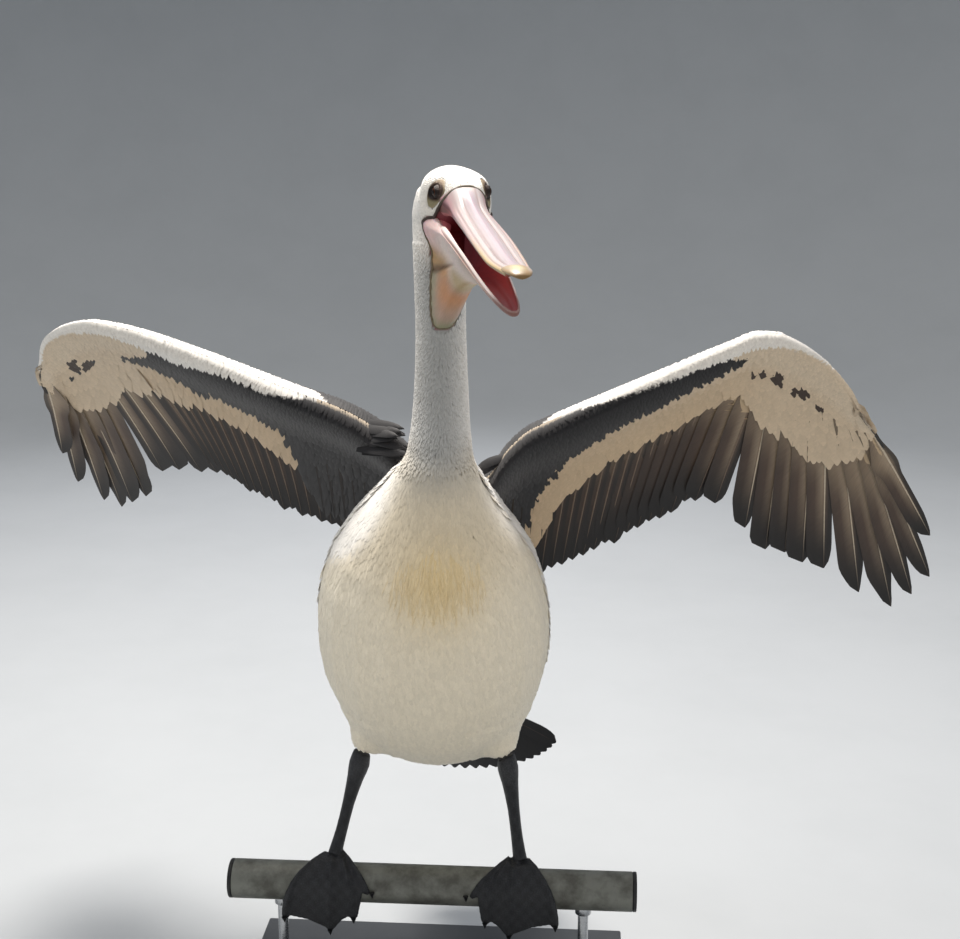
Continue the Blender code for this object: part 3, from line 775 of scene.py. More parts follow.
def mesh_of(bm: BMesh, name: str) -> bpy.types.Mesh:
    """Return a mesh made of a bmesh, which is freed.

    Args:
        bm: The shape.
        name: The mesh's name.

    Returns:
        The mesh.
    """
    mesh = bpy.data.meshes.new(name)
    bm.to_mesh(mesh)
    bm.free()
    return mesh


def hand_over(
    name: str,
    mesh: bpy.types.Mesh,
    finishes: list[Finish],
    replaced: tuple[str, ...] = (),
    triangles: int = 0,
) -> None:
    """Make a piece of a mesh and let it ride on the frame.

    Args:
        name: The piece's name.
        mesh: Its mesh, in place.
        finishes: Its finishes, in the order of the mesh's material numbers.
        replaced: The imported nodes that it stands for.
        triangles: Its number of triangles, if it is known.
    """
    mesh.name = name
    for finish in finishes:
        mesh.materials.append(finish.make())
    piece = new_object(name, mesh)
    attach(piece, BODY)
    if replaced:
        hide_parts(*replaced)
    if not triangles:
        mesh.calc_loop_triangles()
        triangles = len(mesh.loop_triangles)
    log.info("%s: %d triangles", name, triangles)


def shaped_grid(
    counts: tuple[int, int],
    place: Surface,
    tint: Surface,
    weld: float = 2e-5,
) -> BMesh:
    """Bend a flat grid into a surface and weld its seams.

    Args:
        counts: Faces along u and along v.
        place: Gives points for arrays of u and v from 0 to 1.
        tint: Gives linear colours for the same arrays.
        weld: Distance within which points are merged.

    Returns:
        The surface, with Tint and Vane layers on its points.
    """
    bm = bmesh.new()
    bmesh.ops.create_grid(bm, x_segments=counts[0], y_segments=counts[1], size=0.5)
    flat = np.array([v.co for v in bm.verts])
    u, v = flat[:, 0] + 0.5, flat[:, 1] + 0.5
    points = place(u, v)
    step_u = place(np.clip(u + 1e-3, 0, 1), v) - place(np.clip(u - 1e-3, 0, 1), v)
    run = np.linalg.norm(step_u, axis=1).mean() / 2e-3
    step_v = place(u, np.clip(v + 1e-3, 0, 1)) - place(u, np.clip(v - 1e-3, 0, 1))
    breadth = np.linalg.norm(step_v, axis=1).mean() / 2e-3
    colours = np.broadcast_to(tint(u, v), points.shape)
    tints = bm.verts.layers.float_color.new("Tint")
    vanes = bm.verts.layers.float_vector.new("Vane")
    for vert, point, colour, a, b in zip(bm.verts, points, colours, v * breadth, u * run):
        vert.co = point
        vert[tints] = (*colour, 1.0)
        vert[vanes] = (a, b, 0.0)
    bmesh.ops.remove_doubles(bm, verts=bm.verts, dist=weld)
    bmesh.ops.dissolve_degenerate(bm, edges=bm.edges, dist=1e-6)
    bmesh.ops.recalc_face_normals(bm, faces=bm.faces)
    return bm


def close_ends(bm: BMesh) -> None:
    """Fill a tube's open ends and turn its faces outward.

    Args:
        bm: The tube.
    """
    rims = [e for e in bm.edges if e.is_boundary]
    if rims:
        bmesh.ops.holes_fill(bm, edges=rims, sides=0)
    bmesh.ops.recalc_face_normals(bm, faces=bm.faces)


def piece_from(
    name: str,
    bm: BMesh,
    finishes: list[Finish],
    replaced: tuple[str, ...] = (),
    sharp: float = 55.0,
) -> None:
    """Make a smooth piece of a bmesh and hand it to the frame.

    Args:
        name: The piece's name.
        bm: Its shape, which is freed.
        finishes: Its finishes.
        replaced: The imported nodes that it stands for.
        sharp: Angle in degrees over which an edge stays sharp.
    """
    mesh = mesh_of(bm, name)
    mesh.shade_smooth()
    mesh.set_sharp_from_angle(angle=math.radians(sharp))
    hand_over(name, mesh, finishes, replaced)


def welded(*nodes: str) -> BMesh:
    """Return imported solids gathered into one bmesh, their points merged.

    Args:
        *nodes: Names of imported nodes.

    Returns:
        The solids in one bmesh.
    """
    bm = bmesh.new()
    for node in nodes:
        bm.from_mesh(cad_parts[node].data)
    bmesh.ops.remove_doubles(bm, verts=bm.verts, dist=1e-6)
    return bm


def fused(
    bm: BMesh, voxel: float, passes: tuple[int, ...]
) -> tuple[bpy.types.Mesh, list[Array]]:
    """Fuse solids into one skin and smooth it.

    Args:
        bm: The solids, which are freed.
        voxel: The step of the skin's grid.
        passes: Counts of smoothing passes, one shape for each.

    Returns:
        The last mesh, and the points of each shape.
    """
    rough = mesh_of(bm, "rough_skin")
    holder = new_object("rough_skin", rough)
    fuse = holder.modifiers.new("fuse", "REMESH")
    fuse.mode = "VOXEL"
    fuse.voxel_size = voxel
    soften = holder.modifiers.new("soften", "SMOOTH")
    soften.factor = 0.5
    shapes = []
    for count in passes:
        soften.iterations = count
        graph = bpy.context.evaluated_depsgraph_get()
        mesh = bpy.data.meshes.new_from_object(holder.evaluated_get(graph))
        shape = np.empty(len(mesh.vertices) * 3, np.float32)
        mesh.vertices.foreach_get("co", shape)
        shapes.append(shape.reshape(-1, 3).astype(float))
    bpy.data.objects.remove(holder)
    bpy.data.meshes.remove(rough)
    return mesh, shapes


# --- The body's line and the head's own directions ---


@dataclass(frozen=True)
class BodyLine:
    """The line from the throat down the chest to the rump.

    Each row holds centre x, y, z, half width and half depth.
    """

    rows: Rows = (
        (0.018, 0.022, 1.262, 0.033, 0.036),
        (0.016, 0.021, 1.222, 0.0400, 0.040),
        (0.017, 0.014, 1.180, 0.0395, 0.040),
        (0.018, 0.008, 1.120, 0.0380, 0.039),
        (0.019, 0.006, 1.050, 0.0375, 0.038),
        (0.019, 0.004, 0.966, 0.0410, 0.040),
        (0.018, -0.006, 0.900, 0.0470, 0.045),
        (0.016, -0.010, 0.862, 0.0580, 0.050),
        (0.010, 0.003, 0.810, 0.100, 0.082),
        (0.004, 0.026, 0.735, 0.152, 0.126),
        (0.000, 0.050, 0.640, 0.177, 0.152),
        (0.000, 0.078, 0.545, 0.174, 0.152),
        (0.004, 0.126, 0.478, 0.150, 0.133),
        (0.010, 0.182, 0.440, 0.110, 0.098),
        (0.018, 0.236, 0.414, 0.064, 0.055),
        (0.022, 0.270, 0.394, 0.030, 0.022),
    )
    per_span: int = 8

    def table(self) -> tuple[Array, Array, Array, Array]:
        """Return centres, half sizes, directions along and across the line.

        Returns:
            Four arrays with a row for each point of the line.
        """
        curve = smooth_rows(self.rows, self.per_span)
        along = unit(np.gradient(curve[:, :3], axis=0))
        across = np.array([1.0, 0.0, 0.0])
        across = unit(across - along * (along @ across)[:, None])
        return curve[:, :3], curve[:, 3:], along, across

    def local(self, points: Array) -> tuple[Array, ...]:
        """Return where points lie on the body.

        Args:
            points: World points, n by three.

        Returns:
            The share along the line, the turn round it (0.25 is the front),
            the distance from it as a share of its section, and the direction
            along it.
        """
        centres, sizes, along, across = self.table()
        gap = ((points[:, None] - centres[None]) ** 2).sum(axis=2)
        near = gap.argmin(axis=1)
        deep = np.cross(along, across)
        off = points - centres[near]
        x = (off * across[near]).sum(axis=1) / sizes[near, 0]
        y = (off * deep[near]).sum(axis=1) / sizes[near, 1]
        turn = np.arctan2(y, x) / (2 * math.pi) % 1.0
        fine = (off * along[near]).sum(axis=1)
        step = np.linalg.norm(np.gradient(centres, axis=0), axis=1)[near]
        share = (near + np.clip(fine / step, -0.5, 0.5)) / (len(centres) - 1)
        return share, turn, np.hypot(x, y), along[near]


@dataclass(frozen=True)
class HeadFrame:
    """The head's directions, from a point between the eyes."""

    at: Point = (0.053, -0.041, 1.262)
    yaw: float = math.radians(13.8)
    pitch: float = math.radians(9.6)
    hinge: tuple[float, float] = (-0.047, -0.046)
    jaw_open: float = math.radians(1.0)
    jaw_length: float = 0.436
    jaw_width: float = 0.030
    jaw_flare: float = 0.016
    flare_share: float = 0.12
    eye_side: float = 0.0315
    eye_radius: float = 0.0095

    @property
    def axes(self) -> Array:
        """Return the rows forward, left and up."""
        turn = Matrix.Rotation(self.yaw, 3, "Z") @ Matrix.Rotation(self.pitch, 3, "X")
        return np.array([turn @ Vector(d) for d in ((0, -1, 0), (1, 0, 0), (0, 0, 1))])

    def point(self, forward: object, side: object, up: object) -> Array:
        """Return world points for places in the head's frame."""
        place = np.stack(np.broadcast_arrays(forward, side, up), axis=-1).astype(float)
        return place @ self.axes + self.at

    def local(self, points: Array) -> Array:
        """Return forward, side and up for world points."""
        return (np.asarray(points) - self.at) @ self.axes.T

    def jaw(self, forward: object, side: object, up: object) -> Array:
        """Return world points for places in the lower jaw's frame.

        Args:
            forward: Distances forward of the hinge.
            side: Distances to the left.
            up: Distances up.

        Returns:
            World points.
        """
        cos, sin = math.cos(self.jaw_open), math.sin(self.jaw_open)
        return self.point(
            self.hinge[0] + forward * cos + up * sin, side,
            self.hinge[1] + up * cos - forward * sin,
        )

    def jaw_local(self, points: Array) -> Array:
        """Return forward, side and up in the jaw's frame for world points.

        Args:
            points: World points, n by three.

        Returns:
            Rows of forward, side and up.
        """
        place = self.local(points)
        cos, sin = math.cos(self.jaw_open), math.sin(self.jaw_open)
        forward, up = place[:, 0] - self.hinge[0], place[:, 2] - self.hinge[1]
        return np.stack([forward * cos - up * sin, place[:, 1], forward * sin + up * cos], axis=1)

    def jaw_half(self, forward: Array) -> Array:
        """Return half the distance between the jaw's sides.

        Args:
            forward: Distances forward of the hinge.

        Returns:
            Half widths.
        """
        t = np.clip(forward / self.jaw_length, 0, 1)
        flare = self.jaw_flare * np.exp(-t / self.flare_share) * (1 - t)
        return self.jaw_width * (1 - t) ** 0.4 + flare


LINE = BodyLine()
HEAD = HeadFrame()


def body_tint(points: Array) -> Array:
    """Return the plumage colour of the body at world points, with painted shade on the front of the neck
    and in a V down the breast.

    Args:
        points: World points, n by three.

    Returns:
        Linear colours.
    """
    _, turn, _, _ = LINE.local(points)
    x, y, z = points.T
    front = np.clip(np.cos((turn - 0.25) * math.tau), 0, 1)
    # The V down the breast, between the lit shoulders, is painted shade: there the breast's faint real
    # cream and a greyer warm tone are laid on the white.
    half = np.interp(
        z, (0.690, 0.735, 0.768, 0.808, 0.858, 0.90), (0.20, 0.118, 0.086, 0.064, 0.048, 0.045)
    )
    breast_shade = ramp(np.abs(x - 0.019), half + 0.030, half - 0.012) * (front > 0)
    low = np.exp(-(((x - 0.020) / 0.060) ** 2 + ((z - 0.705) / 0.062) ** 2)) * (front > 0.3)
    # Painted shade on the front of the neck.
    shade = ramp(z, 0.80, 0.90) * ramp(z, 1.20, 1.14) * front ** 1.2
    back = np.clip(-np.cos((turn - 0.25) * math.tau), 0, 1)
    nape = back ** 2 * ramp(z, 0.88, 0.96)
    rump = ramp(y, 0.165, 0.185) * back
    wedge = np.abs(np.abs(x - 0.016) - (0.012 + 0.55 * (0.262 - y)))
    return layered(
        TINTS.white,
        # the next two layers are the painted shade in the breast's V, partly the breast's real cream
        (TINTS.cream, 0.92 * breast_shade * ramp(z, 0.92, 0.84)),
        ("#c9bda6", 0.60 * breast_shade * ramp(z, 0.93, 0.86) * ramp(z, 0.66, 0.78)),
        (TINTS.plume, 0.65 * low),
        (TINTS.foreneck_shade, 0.90 * shade),
        (TINTS.hindneck, 0.75 * nape),
        (TINTS.black, rump * ramp(wedge, 0.016, 0.008)),
    )


# --- Wings ---


@dataclass
class Wing:
    """One half-open wing: its planform, flight feathers and coverts."""

    side: Side
    edge: Rows
    lean: tuple[float, float]
    arm_share: float
    primaries: Rows
    fingers: tuple[float, ...]
    secondary_lean: Point
    secondary_length: Point
    white_edge: Rows
    black_start: Rows
    black_edge: Rows
    covert_edge: Rows
    spots: Rows
    secondaries: int = 15
    quills: int = 23
    camber: float = 0.045
    root_depth: float = 0.052
    tip_depth: float = 0.012
    vane_edge: float = 0.0018
    core_end: float = 0.36
    core_coat: float = 0.0045
    nose: float = 1.4
    rays: Array = field(init=False)
    sheet: Sheet = field(init=False)

    def __post_init__(self) -> None:
        """Work out the rays and the feathered surface."""
        curve = smooth_rows(self.edge, 12)
        run = np.concatenate([[0], np.cumsum(np.linalg.norm(np.diff(curve, axis=0), axis=1))])
        run /= run[-1]
        t = np.arange(self.secondaries) / (self.secondaries - 1)
        hand = np.linspace(0, 1, len(self.primaries))
        share = np.concatenate([
            self.arm_share * 0.98 * t ** 0.92,
            self.arm_share + (1 - self.arm_share) * hand,
        ])
        lead = np.stack([np.interp(share, run, curve[:, i]) for i in range(3)], axis=1)
        lean = np.concatenate([blend3(self.secondary_lean, t), [p[0] for p in self.primaries]])
        size = np.concatenate([blend3(self.secondary_length, t), [p[1] for p in self.primaries]])
        tilt = np.interp(np.arange(len(lead)), (self.secondaries - 5, self.secondaries + 3), self.lean)
        lean, tilt = np.radians(lean), np.radians(tilt)
        ray = np.stack([
            self.side.value * np.sin(lean), np.sin(tilt) * np.cos(lean),
            -np.cos(tilt) * np.cos(lean),
        ], axis=1)
        tip = lead + ray * size[:, None]
        self.rays = smooth_rows(np.stack([lead, tip], axis=1), 8)
        q = np.linspace(0, self.last, 169)[:, None]
        w = np.linspace(-1, 1, 145)[None]
        self.sheet = Sheet(self.place(q, w), -self.side.value)

    @property
    def last(self) -> int:
        """Return the outermost feather's number."""
        return self.secondaries + len(self.primaries) - 1

    def ray(self, q: Array) -> Pair:
        """Return the leading edge and the tip for feather numbers.

        Args:
            q: Feather numbers.

        Returns:
            Points of the leading edge and points of the tips.
        """
        x = np.clip(q, 0, self.last) * 8
        i = np.clip(np.floor(x).astype(int), 0, len(self.rays) - 2)
        f = (x - i)[..., None, None]
        rays = self.rays[i] * (1 - f) + self.rays[i + 1] * f
        return rays[..., 0, :], rays[..., 1, :]

    def thinning(self, q: Array) -> Array:
        """Return the share of the thickness that is left near the wing's end."""
        return 0.25 + 0.75 * ramp(q, self.last, self.last - 2.2)

    def half_depth(self, q: Array, s: Array) -> Array:
        """Return half the wing's thickness at a share of its chord.

        Args:
            q: Feather numbers.
            s: Chord shares.

        Returns:
            Half thicknesses.
        """
        depth = self.root_depth * (1 - q / self.last) ** 1.6 + self.tip_depth
        depth = depth * self.thinning(q)
        body = bell(s, 0.10, 0.20)
        return 0.5 * (self.vane_edge + depth * body)

    def middle(self, q: Array, s: Array) -> Pair:
        """Return points between the two faces, and the under side's direction.

        Args:
            q: Feather numbers.
            s: Chord shares.

        Returns:
            The points and unit directions.
        """
        lead, tip = self.ray(q)
        chord = tip - lead
        size = np.linalg.norm(chord, axis=-1, keepdims=True)
        arm, hand = self.lean
        angle = np.radians(arm + (hand - arm) * q / self.last)
        facing = np.stack([np.zeros_like(angle), -np.cos(angle), -np.sin(angle)], axis=-1)
        drop = (facing * chord).sum(axis=-1, keepdims=True)
        under = unit(facing - chord * drop / size ** 2)
        s = s[..., None]
        return lead + chord * s - under * self.camber * size * 4 * s * (1 - s), under

    def place(self, q: Array, w: Array, core: bool = False) -> Array:
        """Return points of the feathered surface or of the arm in it.

        Args:
            q: Feather numbers.
            w: From -1 at the upper side's tips over the nose at 0 to 1.
            core: Whether the arm's own surface is wanted.

        Returns:
            The points.
        """
        q, w = np.broadcast_arrays(np.asarray(q, float), np.asarray(w, float))
        s = np.abs(w) ** self.nose
        s = s * self.core_end if core else s
        middle, under = self.middle(q, s)
        half = self.half_depth(q, s)
        if core:
            half = np.maximum(half - self.core_coat, 0.0032)
            s = s + 0.012
        else:
            least = 0.0048 * self.thinning(q)
            half = np.maximum(half, least * (1 - 0.67 * ramp(s, 0.30, 0.62)))
        half = half * np.sqrt(np.clip(s / 0.045, 0, 1))
        if core:
            lead, tip = self.ray(q)
            middle = middle + unit(tip - lead) * self.core_coat
        return middle + under * (half * np.sign(w))[..., None]

    def mark(self, q: Array, s: Array, face: WingFace) -> Array:
        """Return the covert colour at feather numbers and chord shares, with painted shade and a painted
        grey sheen on the under side.

        Args:
            q: Feather numbers.
            s: Chord shares.
            face: The wing's face.

        Returns:
            Linear colours.
        """
        white, black, tan, soft = (
            linear(c) for c in (TINTS.white, TINTS.black, TINTS.tan, TINTS.grey_sheen_black)
        )
        shape = np.broadcast(q, s).shape
        q, s = np.broadcast_to(q, shape), np.broadcast_to(s, shape)
        if face is WingFace.UPPER:
            panel = (q > 6.2) & (q < 13.6) & (s < 0.40 - 0.010 * q)
            rim = s < np.interp(q, (3.7, 4.4, 6, 14, 24), (0.0, 0.025, 0.05, 0.09, 0.05))
            is_white = (panel | rim)[..., None]
            return np.where(is_white, white, black)
        white_end = np.interp(q, *zip(*self.white_edge))
        black_end = np.interp(q, *zip(*self.black_edge))
        # Near the wing's root the black is greyed: a painted grey sheen.
        inner = mix(black, soft, ramp(q, 5, 1) * 0.6)
        # The under side's tan is the pale coverts as they look in shade: partly their colour, partly
        # painted shade.
        warm = mix(tan, TINTS.pale_tan, np.maximum(ramp(s, 0.30, 0.12), 0.55 * ramp(q, 11, 16)))
        black_start = np.interp(q, *zip(*self.black_start))
        colour = np.where(((s > black_start) & (s < black_end))[..., None], inner, warm)
        for number, share, size in self.spots:
            near = np.hypot((q - number) * 0.9, (s - share) * 12) < size
            colour = np.where(near[..., None], linear(TINTS.spot), colour)
        return np.where((s < white_end)[..., None], white, colour)

    def lay_row(
        self, coat: Coat, face: WingFace, ends: Gauge,
        size: tuple[float, float], vane: Vane, rng: np.random.Generator,
    ) -> None:
        """Lay one row of coverts across the wing.

        Args:
            coat: The coat they join.
            face: The wing's face.
            ends: Gives the chord share of the tips for feather numbers.
            size: The feathers' length and full width.
            vane: Their outline.
            rng: Source of the small differences between them.
        """
        length, width = size
        fine = np.linspace(0.0, self.last, 500)
        sign = face.value
        tips = self.sheet.at(fine / self.last, self.to_v(ends(fine), sign))[0]
        run = np.concatenate([[0], np.cumsum(np.linalg.norm(np.diff(tips, axis=0), axis=1))])
        count = max(int(run[-1] / (width * 0.52)), 2)
        spots = (np.arange(count) + 0.5 + rng.uniform(-0.25, 0.25, count)) / count
        q = np.interp(spots * run[-1], run, fine)
        lead, tip = self.ray(q)
        chord = np.linalg.norm(tip - lead, axis=1)
        grow = rng.uniform(0.92, 1.08, count)
        end = np.clip(ends(q) + rng.normal(0, 0.05, count) * length / chord, 0.02, 0.985)
        start = np.maximum(end - length * grow / chord, 0.0)
        t = vane.stations[None]
        s = start[:, None] + (end - start)[:, None] * t
        skew = rng.normal(0, 0.05, count)[:, None] * t
        points, normals = self.sheet.at(
            (q[:, None] + skew) / self.last, self.to_v(s, sign)
        )
        lift = -0.0022 + 0.0036 * t + rng.uniform(0, 0.0003, (count, 1))
        centre = points + normals * lift[..., None]
        half = vane.outline()[None] * width / 2 * rng.uniform(0.92, 1.08, (count, 1))
        where = np.where(end[:, None] < 0.06, s, end[:, None])
        tint = self.mark(q[:, None], where, face) * rng.uniform(0.94, 1.03, (count, 1))[:, None]
        # Each covert is darker at its root and a little lighter at its tip: painted shade under the row
        # that overlaps it.
        tint = tint * (0.78 + 0.26 * t[..., None])
        place = pairs(0.01 + 0.97 * q / self.last, 0.01 + 0.97 * (0.5 + 0.5 * sign * start))
        coat.add(
            centre, normals, (half, half), 0.0009 * np.ones_like(half),
            tint[:, :, None, :], place, vane,
            roll=math.radians(6) * self.side.value * sign,
        )

    def to_v(self, s: Array, sign: int) -> Array:
        """Return the sheet's v for chord shares on one face."""
        return 0.5 + 0.5 * sign * np.clip(s, 0, 1.1) ** (1 / self.nose)

    def build_coverts(self) -> None:
        """Lay the coverts of both faces."""
        for face in WingFace:
            rng = np.random.default_rng(SEED + 40 + 10 * self.side.value + face.value)
            name = f"wing_{self.side.label}_{face.name.lower()}_coverts"
            coat = Coat(name, COVERT_FEATHER, "feather_brown")
            table = tuple(zip(*self.covert_edge))
            if face is WingFace.UPPER:
                table = ((0, 14, 15, 24), (0.60, 0.52, 0.50, 0.32))

            share = 1.0
            while share > 0.035:
                length = 0.016 + 0.074 * share ** 2.2
                width = 0.0085 + 0.0155 * share ** 1.6
                vane = ROUND_TUFT if share > 0.4 else TUFT
                self.lay_row(
                    coat, face, lambda q, part=share: np.interp(q, *table) * part,
                    (length, width), vane, rng,
                )
                share -= 0.020 + 0.085 * share ** 1.5
            coat.finish_piece()

    def build_quills(self) -> None:
        """Lay the flight feathers: secondaries on the arm, primaries on the hand."""
        rng = np.random.default_rng(SEED + 100 + self.side.value)
        coat = Coat(f"wing_{self.side.label}_flight_feathers", FLIGHT_FEATHER, "feather_brown")
        inner_q = np.linspace(0.15, self.secondaries - 0.75, self.quills)
        hand_q = np.arange(self.secondaries, self.last + 1, dtype=float)
        q = np.concatenate([inner_q, hand_q])
        gap = np.concatenate([np.full(self.quills, inner_q[1] - inner_q[0]), np.ones(len(hand_q))])
        is_hand = q >= self.secondaries
        vane = Vane(30, ((0, 1), (1, 1)), FLAT_SECTION, cup=-0.05)
        t = vane.stations[None]
        count = len(q)
        reach = np.where(is_hand, 0.993, rng.uniform(0.965, 1.0, count))[:, None]
        s = 0.14 + (reach - 0.14) * t
        q2 = q[:, None] + 0 * t
        centre, under = self.middle(q2, s)
        near, _ = self.middle(q2 - gap[:, None], s)
        apart = np.linalg.norm(centre - near, axis=-1)
        finger = np.concatenate([np.zeros(self.quills), self.fingers])[:, None]
        inner = np.clip(0.95 * apart + 0.004, 0.008, np.where(is_hand[:, None], 0.028, 0.026))
        outer = np.clip(0.50 * apart, 0.005, 0.012)
        slim = ramp(s, 1.0 - finger - 0.06, 1.0 - finger + 0.05) * (finger > 0.06)
        inner = inner * (1 - 0.22 * slim)
        outer = outer * (1 - 0.35 * slim)
        outermost = ramp(q, self.secondaries + 3.0, self.secondaries + 6.0)[:, None]
        point = 0.91 - 0.11 * outermost
        close = np.clip((t - point) / (1 - point), 0, 1)
        taper = np.sqrt(np.clip(1 - close ** (2.4 - 0.7 * outermost), 0.004, 1))
        inner, outer = inner * taper, outer * taper * np.where(close > 0, 1 - 0.25 * close, 1)
        side = self.side.value
        half = (outer, inner) if side > 0 else (inner, outer)
        tint = self.quill_tint(q, s, np.array(vane.section), rng)
        place = pairs(0.01 + 0.96 * (np.arange(count) / count), 0.02)
        patch = np.broadcast_to([[0.9 / count, 0.70]], (count, 2))
        splay = np.where(is_hand[:, None], rng.normal(0, 0.0012, (count, 1)), 0) * t ** 2
        sunk = 0.0013 * ramp(s, 0.66, 0.48)
        centre = centre + under * (splay - sunk)[..., None]
        coat.add(
            centre, under, half, 0.0009 * (1.2 - 0.5 * t) * np.ones_like(s), tint, place,
            vane, patch, roll=np.radians(4.5) * side,
        )
        shaft = Vane(30, ((0, 1), (1, 1)), HEX_SECTION)
        radius = (0.0004 + 0.0015 * (1 - t) ** 0.8) * np.ones_like(s)
        sheen = np.where(
            np.array(shaft.section)[None, None, :, 1:] > -0.1,
            mix(
                mix("#7a6858", TINTS.shaft, is_hand[:, None] * np.ones_like(s)),
                linear(TINTS.shaft_dark), ramp(s, 0.75, 1.0),
            )[..., None, :],
            linear(TINTS.black),
        )
        coat.add(
            centre + under * 0.0003, under, (radius, radius), radius * 0.85, sheen,
            place + (0, 0.74), shaft, np.broadcast_to([[0.9 / count, 0.2]], (count, 2)),
        )
        coat.finish_piece(tuple(
            f"wing_{self.side.label}_{part}" for part in ("upper_arm", "forearm", "hand")
        ))

    def quill_tint(
        self, q: Array, s: Array, section: Array, rng: np.random.Generator
    ) -> Array:
        """Return the flight feathers' colours, with painted light on their under sides.

        Args:
            q: Feather numbers.
            s: Chord shares, feathers by stations.
            section: Points round a cut across them.
            rng: Source of the small differences between them.

        Returns:
            Colours, feathers by stations by section points.
        """
        root, mid, end, rim = (
            linear(c) for c in
            (TINTS.quill_root, TINTS.quill_mid, TINTS.quill_tip, TINTS.quill_edge)
        )
        # Under sides brown, lighter towards the root: partly the feathers' colour, partly painted light
        # shining through the vanes.
        under = mix(mix(root, mid, ramp(s, 0.38, 0.62)), end, ramp(s, 0.62, 0.95))
        arm = ramp(q, self.secondaries, self.secondaries - 4)[:, None, None]
        under = under * rng.uniform(0.88, 1.10, (len(q), 1, 1)) * (1 - 0.30 * arm)
        inward = section[:, 0] * self.side.value
        near = bell(inward, 0.12, 0.22)
        outer = ramp(-inward, 0.05, 0.30)[None, None]
        hem = ramp(inward, 0.80, 1.0)[None, None] * 0.35
        # A pale band beside the shaft on the hand's feathers: a painted highlight.
        glow = (0.75 * (1 - arm) * ramp(s, 0.95, 0.50)[..., None]) * near
        under = mix(under[:, :, None], linear(TINTS.quill_highlight), glow)
        under = mix(under, rim, 0.80 * outer * np.ones_like(s)[..., None])
        under = mix(under, rim, hem * np.ones_like(s)[..., None])
        upper = linear(TINTS.upper_quill) * np.ones_like(under)
        return np.where((section[:, 1] < 0)[None, None, :, None], upper, under)


WINGS = (
    Wing(
        side=Side.LEFT,
        edge=(
            (0.058, 0.036, 0.820), (0.088, 0.036, 0.852), (0.130, 0.045, 0.905),
            (0.200, 0.055, 0.940), (0.330, 0.050, 1.000), (0.430, 0.038, 1.047),
            (0.485, 0.030, 1.066), (0.550, 0.034, 1.037), (0.600, 0.050, 0.985),
            (0.625, 0.065, 0.940),
        ),
        lean=(24.0, 24.0),
        arm_share=0.751,
        primaries=(
            (-5, 0.358), (-2, 0.391), (0, 0.384), (2, 0.391), (5, 0.390),
            (11, 0.430), (16, 0.451), (20, 0.412), (25, 0.366), (30.5, 0.263),
        ),
        fingers=(0.10, 0.04, 0.03, 0.04, 0.03, 0.07, 0.10, 0.20, 0.45, 0.52),
        secondary_lean=(0.0, -9.5, -15.5),
        secondary_length=(0.270, 0.333, 0.326),
        white_edge=(
            (4.5, 0.0), (5.5, 0.008), (6.5, 0.018), (7.5, 0.026), (9, 0.040), (11, 0.066), (12.5, 0.088),
            (13.5, 0.080), (14.5, 0.052), (16, 0.030), (18, 0.015), (20, 0.0), (24, 0.0),
        ),
        black_start=((11.5, 0.0), (12.5, 0.115), (13.4, 0.14)),
        black_edge=(
            (3.0, 1.1), (3.3, 0.77), (4, 0.48), (4.8, 0.42), (5, 0.33), (6, 0.28),
            (8, 0.23), (9, 0.22), (11, 0.20), (13, 0.18), (13.2, 0.0),
        ),
        covert_edge=(
            (0, 0.97), (3.0, 0.90), (4, 0.80), (5, 0.60), (6, 0.53), (7, 0.48), (8, 0.47),
            (9, 0.45), (11, 0.43), (12, 0.40), (13.7, 0.40), (14.8, 0.50), (15, 0.47),
            (16, 0.45), (17, 0.50), (18, 0.53), (19, 0.50), (20, 0.40), (21, 0.33),
            (23, 0.20), (24, 0.12),
        ),
        spots=(
            (14, 0.25, 0.32), (15.1, 0.22, 0.38), (16.4, 0.23, 0.30), (17, 0.22, 0.32),
            (18.6, 0.25, 0.28),
        ),
    ),
    Wing(
        side=Side.RIGHT,
        edge=(
            (-0.028, 0.036, 0.868), (-0.075, 0.038, 0.912), (-0.135, 0.047, 0.944),
            (-0.218, 0.070, 0.968), (-0.350, 0.082, 1.017), (-0.450, 0.084, 1.050),
            (-0.532, 0.091, 1.061), (-0.600, 0.122, 1.033), (-0.628, 0.165, 0.975),
        ),
        lean=(33.0, 41.0),
        arm_share=0.764,
        primaries=(
            (-20, 0.389), (-18, 0.391), (-15, 0.379), (-12, 0.383), (-6, 0.446),
            (-4, 0.447), (-2, 0.451), (0.5, 0.408), (5, 0.330), (6.6, 0.227),
        ),
        fingers=(0.04, 0.04, 0.05, 0.06, 0.16, 0.06, 0.10, 0.26, 0.42, 0.46),
        secondary_lean=(4.0, -5.0, -19.0),
        secondary_length=(0.262, 0.318, 0.354),
        white_edge=(
            (4.1, 0.0), (4.8, 0.010), (5.6, 0.026), (6.5, 0.044), (8.0, 0.056), (9.5, 0.088),
            (10.7, 0.122), (12.4, 0.090),
            (13.8, 0.055), (16.5, 0.040), (18, 0.030), (20, 0.025), (24, 0.02),
        ),
        black_start=((11.4, 0.0), (12.4, 0.17), (13.3, 0.225), (14.6, 0.26)),
        black_edge=(
            (5.5, 1.1), (6, 0.65), (6.5, 0.47), (7.6, 0.38), (9, 0.35), (10.7, 0.39),
            (11.6, 0.37), (12.4, 0.32), (13.3, 0.29), (14.6, 0.265),
        ),
        covert_edge=(
            (0, 0.97), (5, 0.90), (6, 0.66), (7, 0.62), (8, 0.55), (10, 0.51), (12.8, 0.55),
            (14, 0.53), (15.9, 0.50), (17, 0.48), (18, 0.53), (19, 0.50), (20.8, 0.42),
            (21.7, 0.38), (22.6, 0.30), (24, 0.20),
        ),
        spots=((19, 0.22, 0.45), (18, 0.27, 0.45)),
    ),
)


# --- Skin, body plumage, shoulders and tail ---


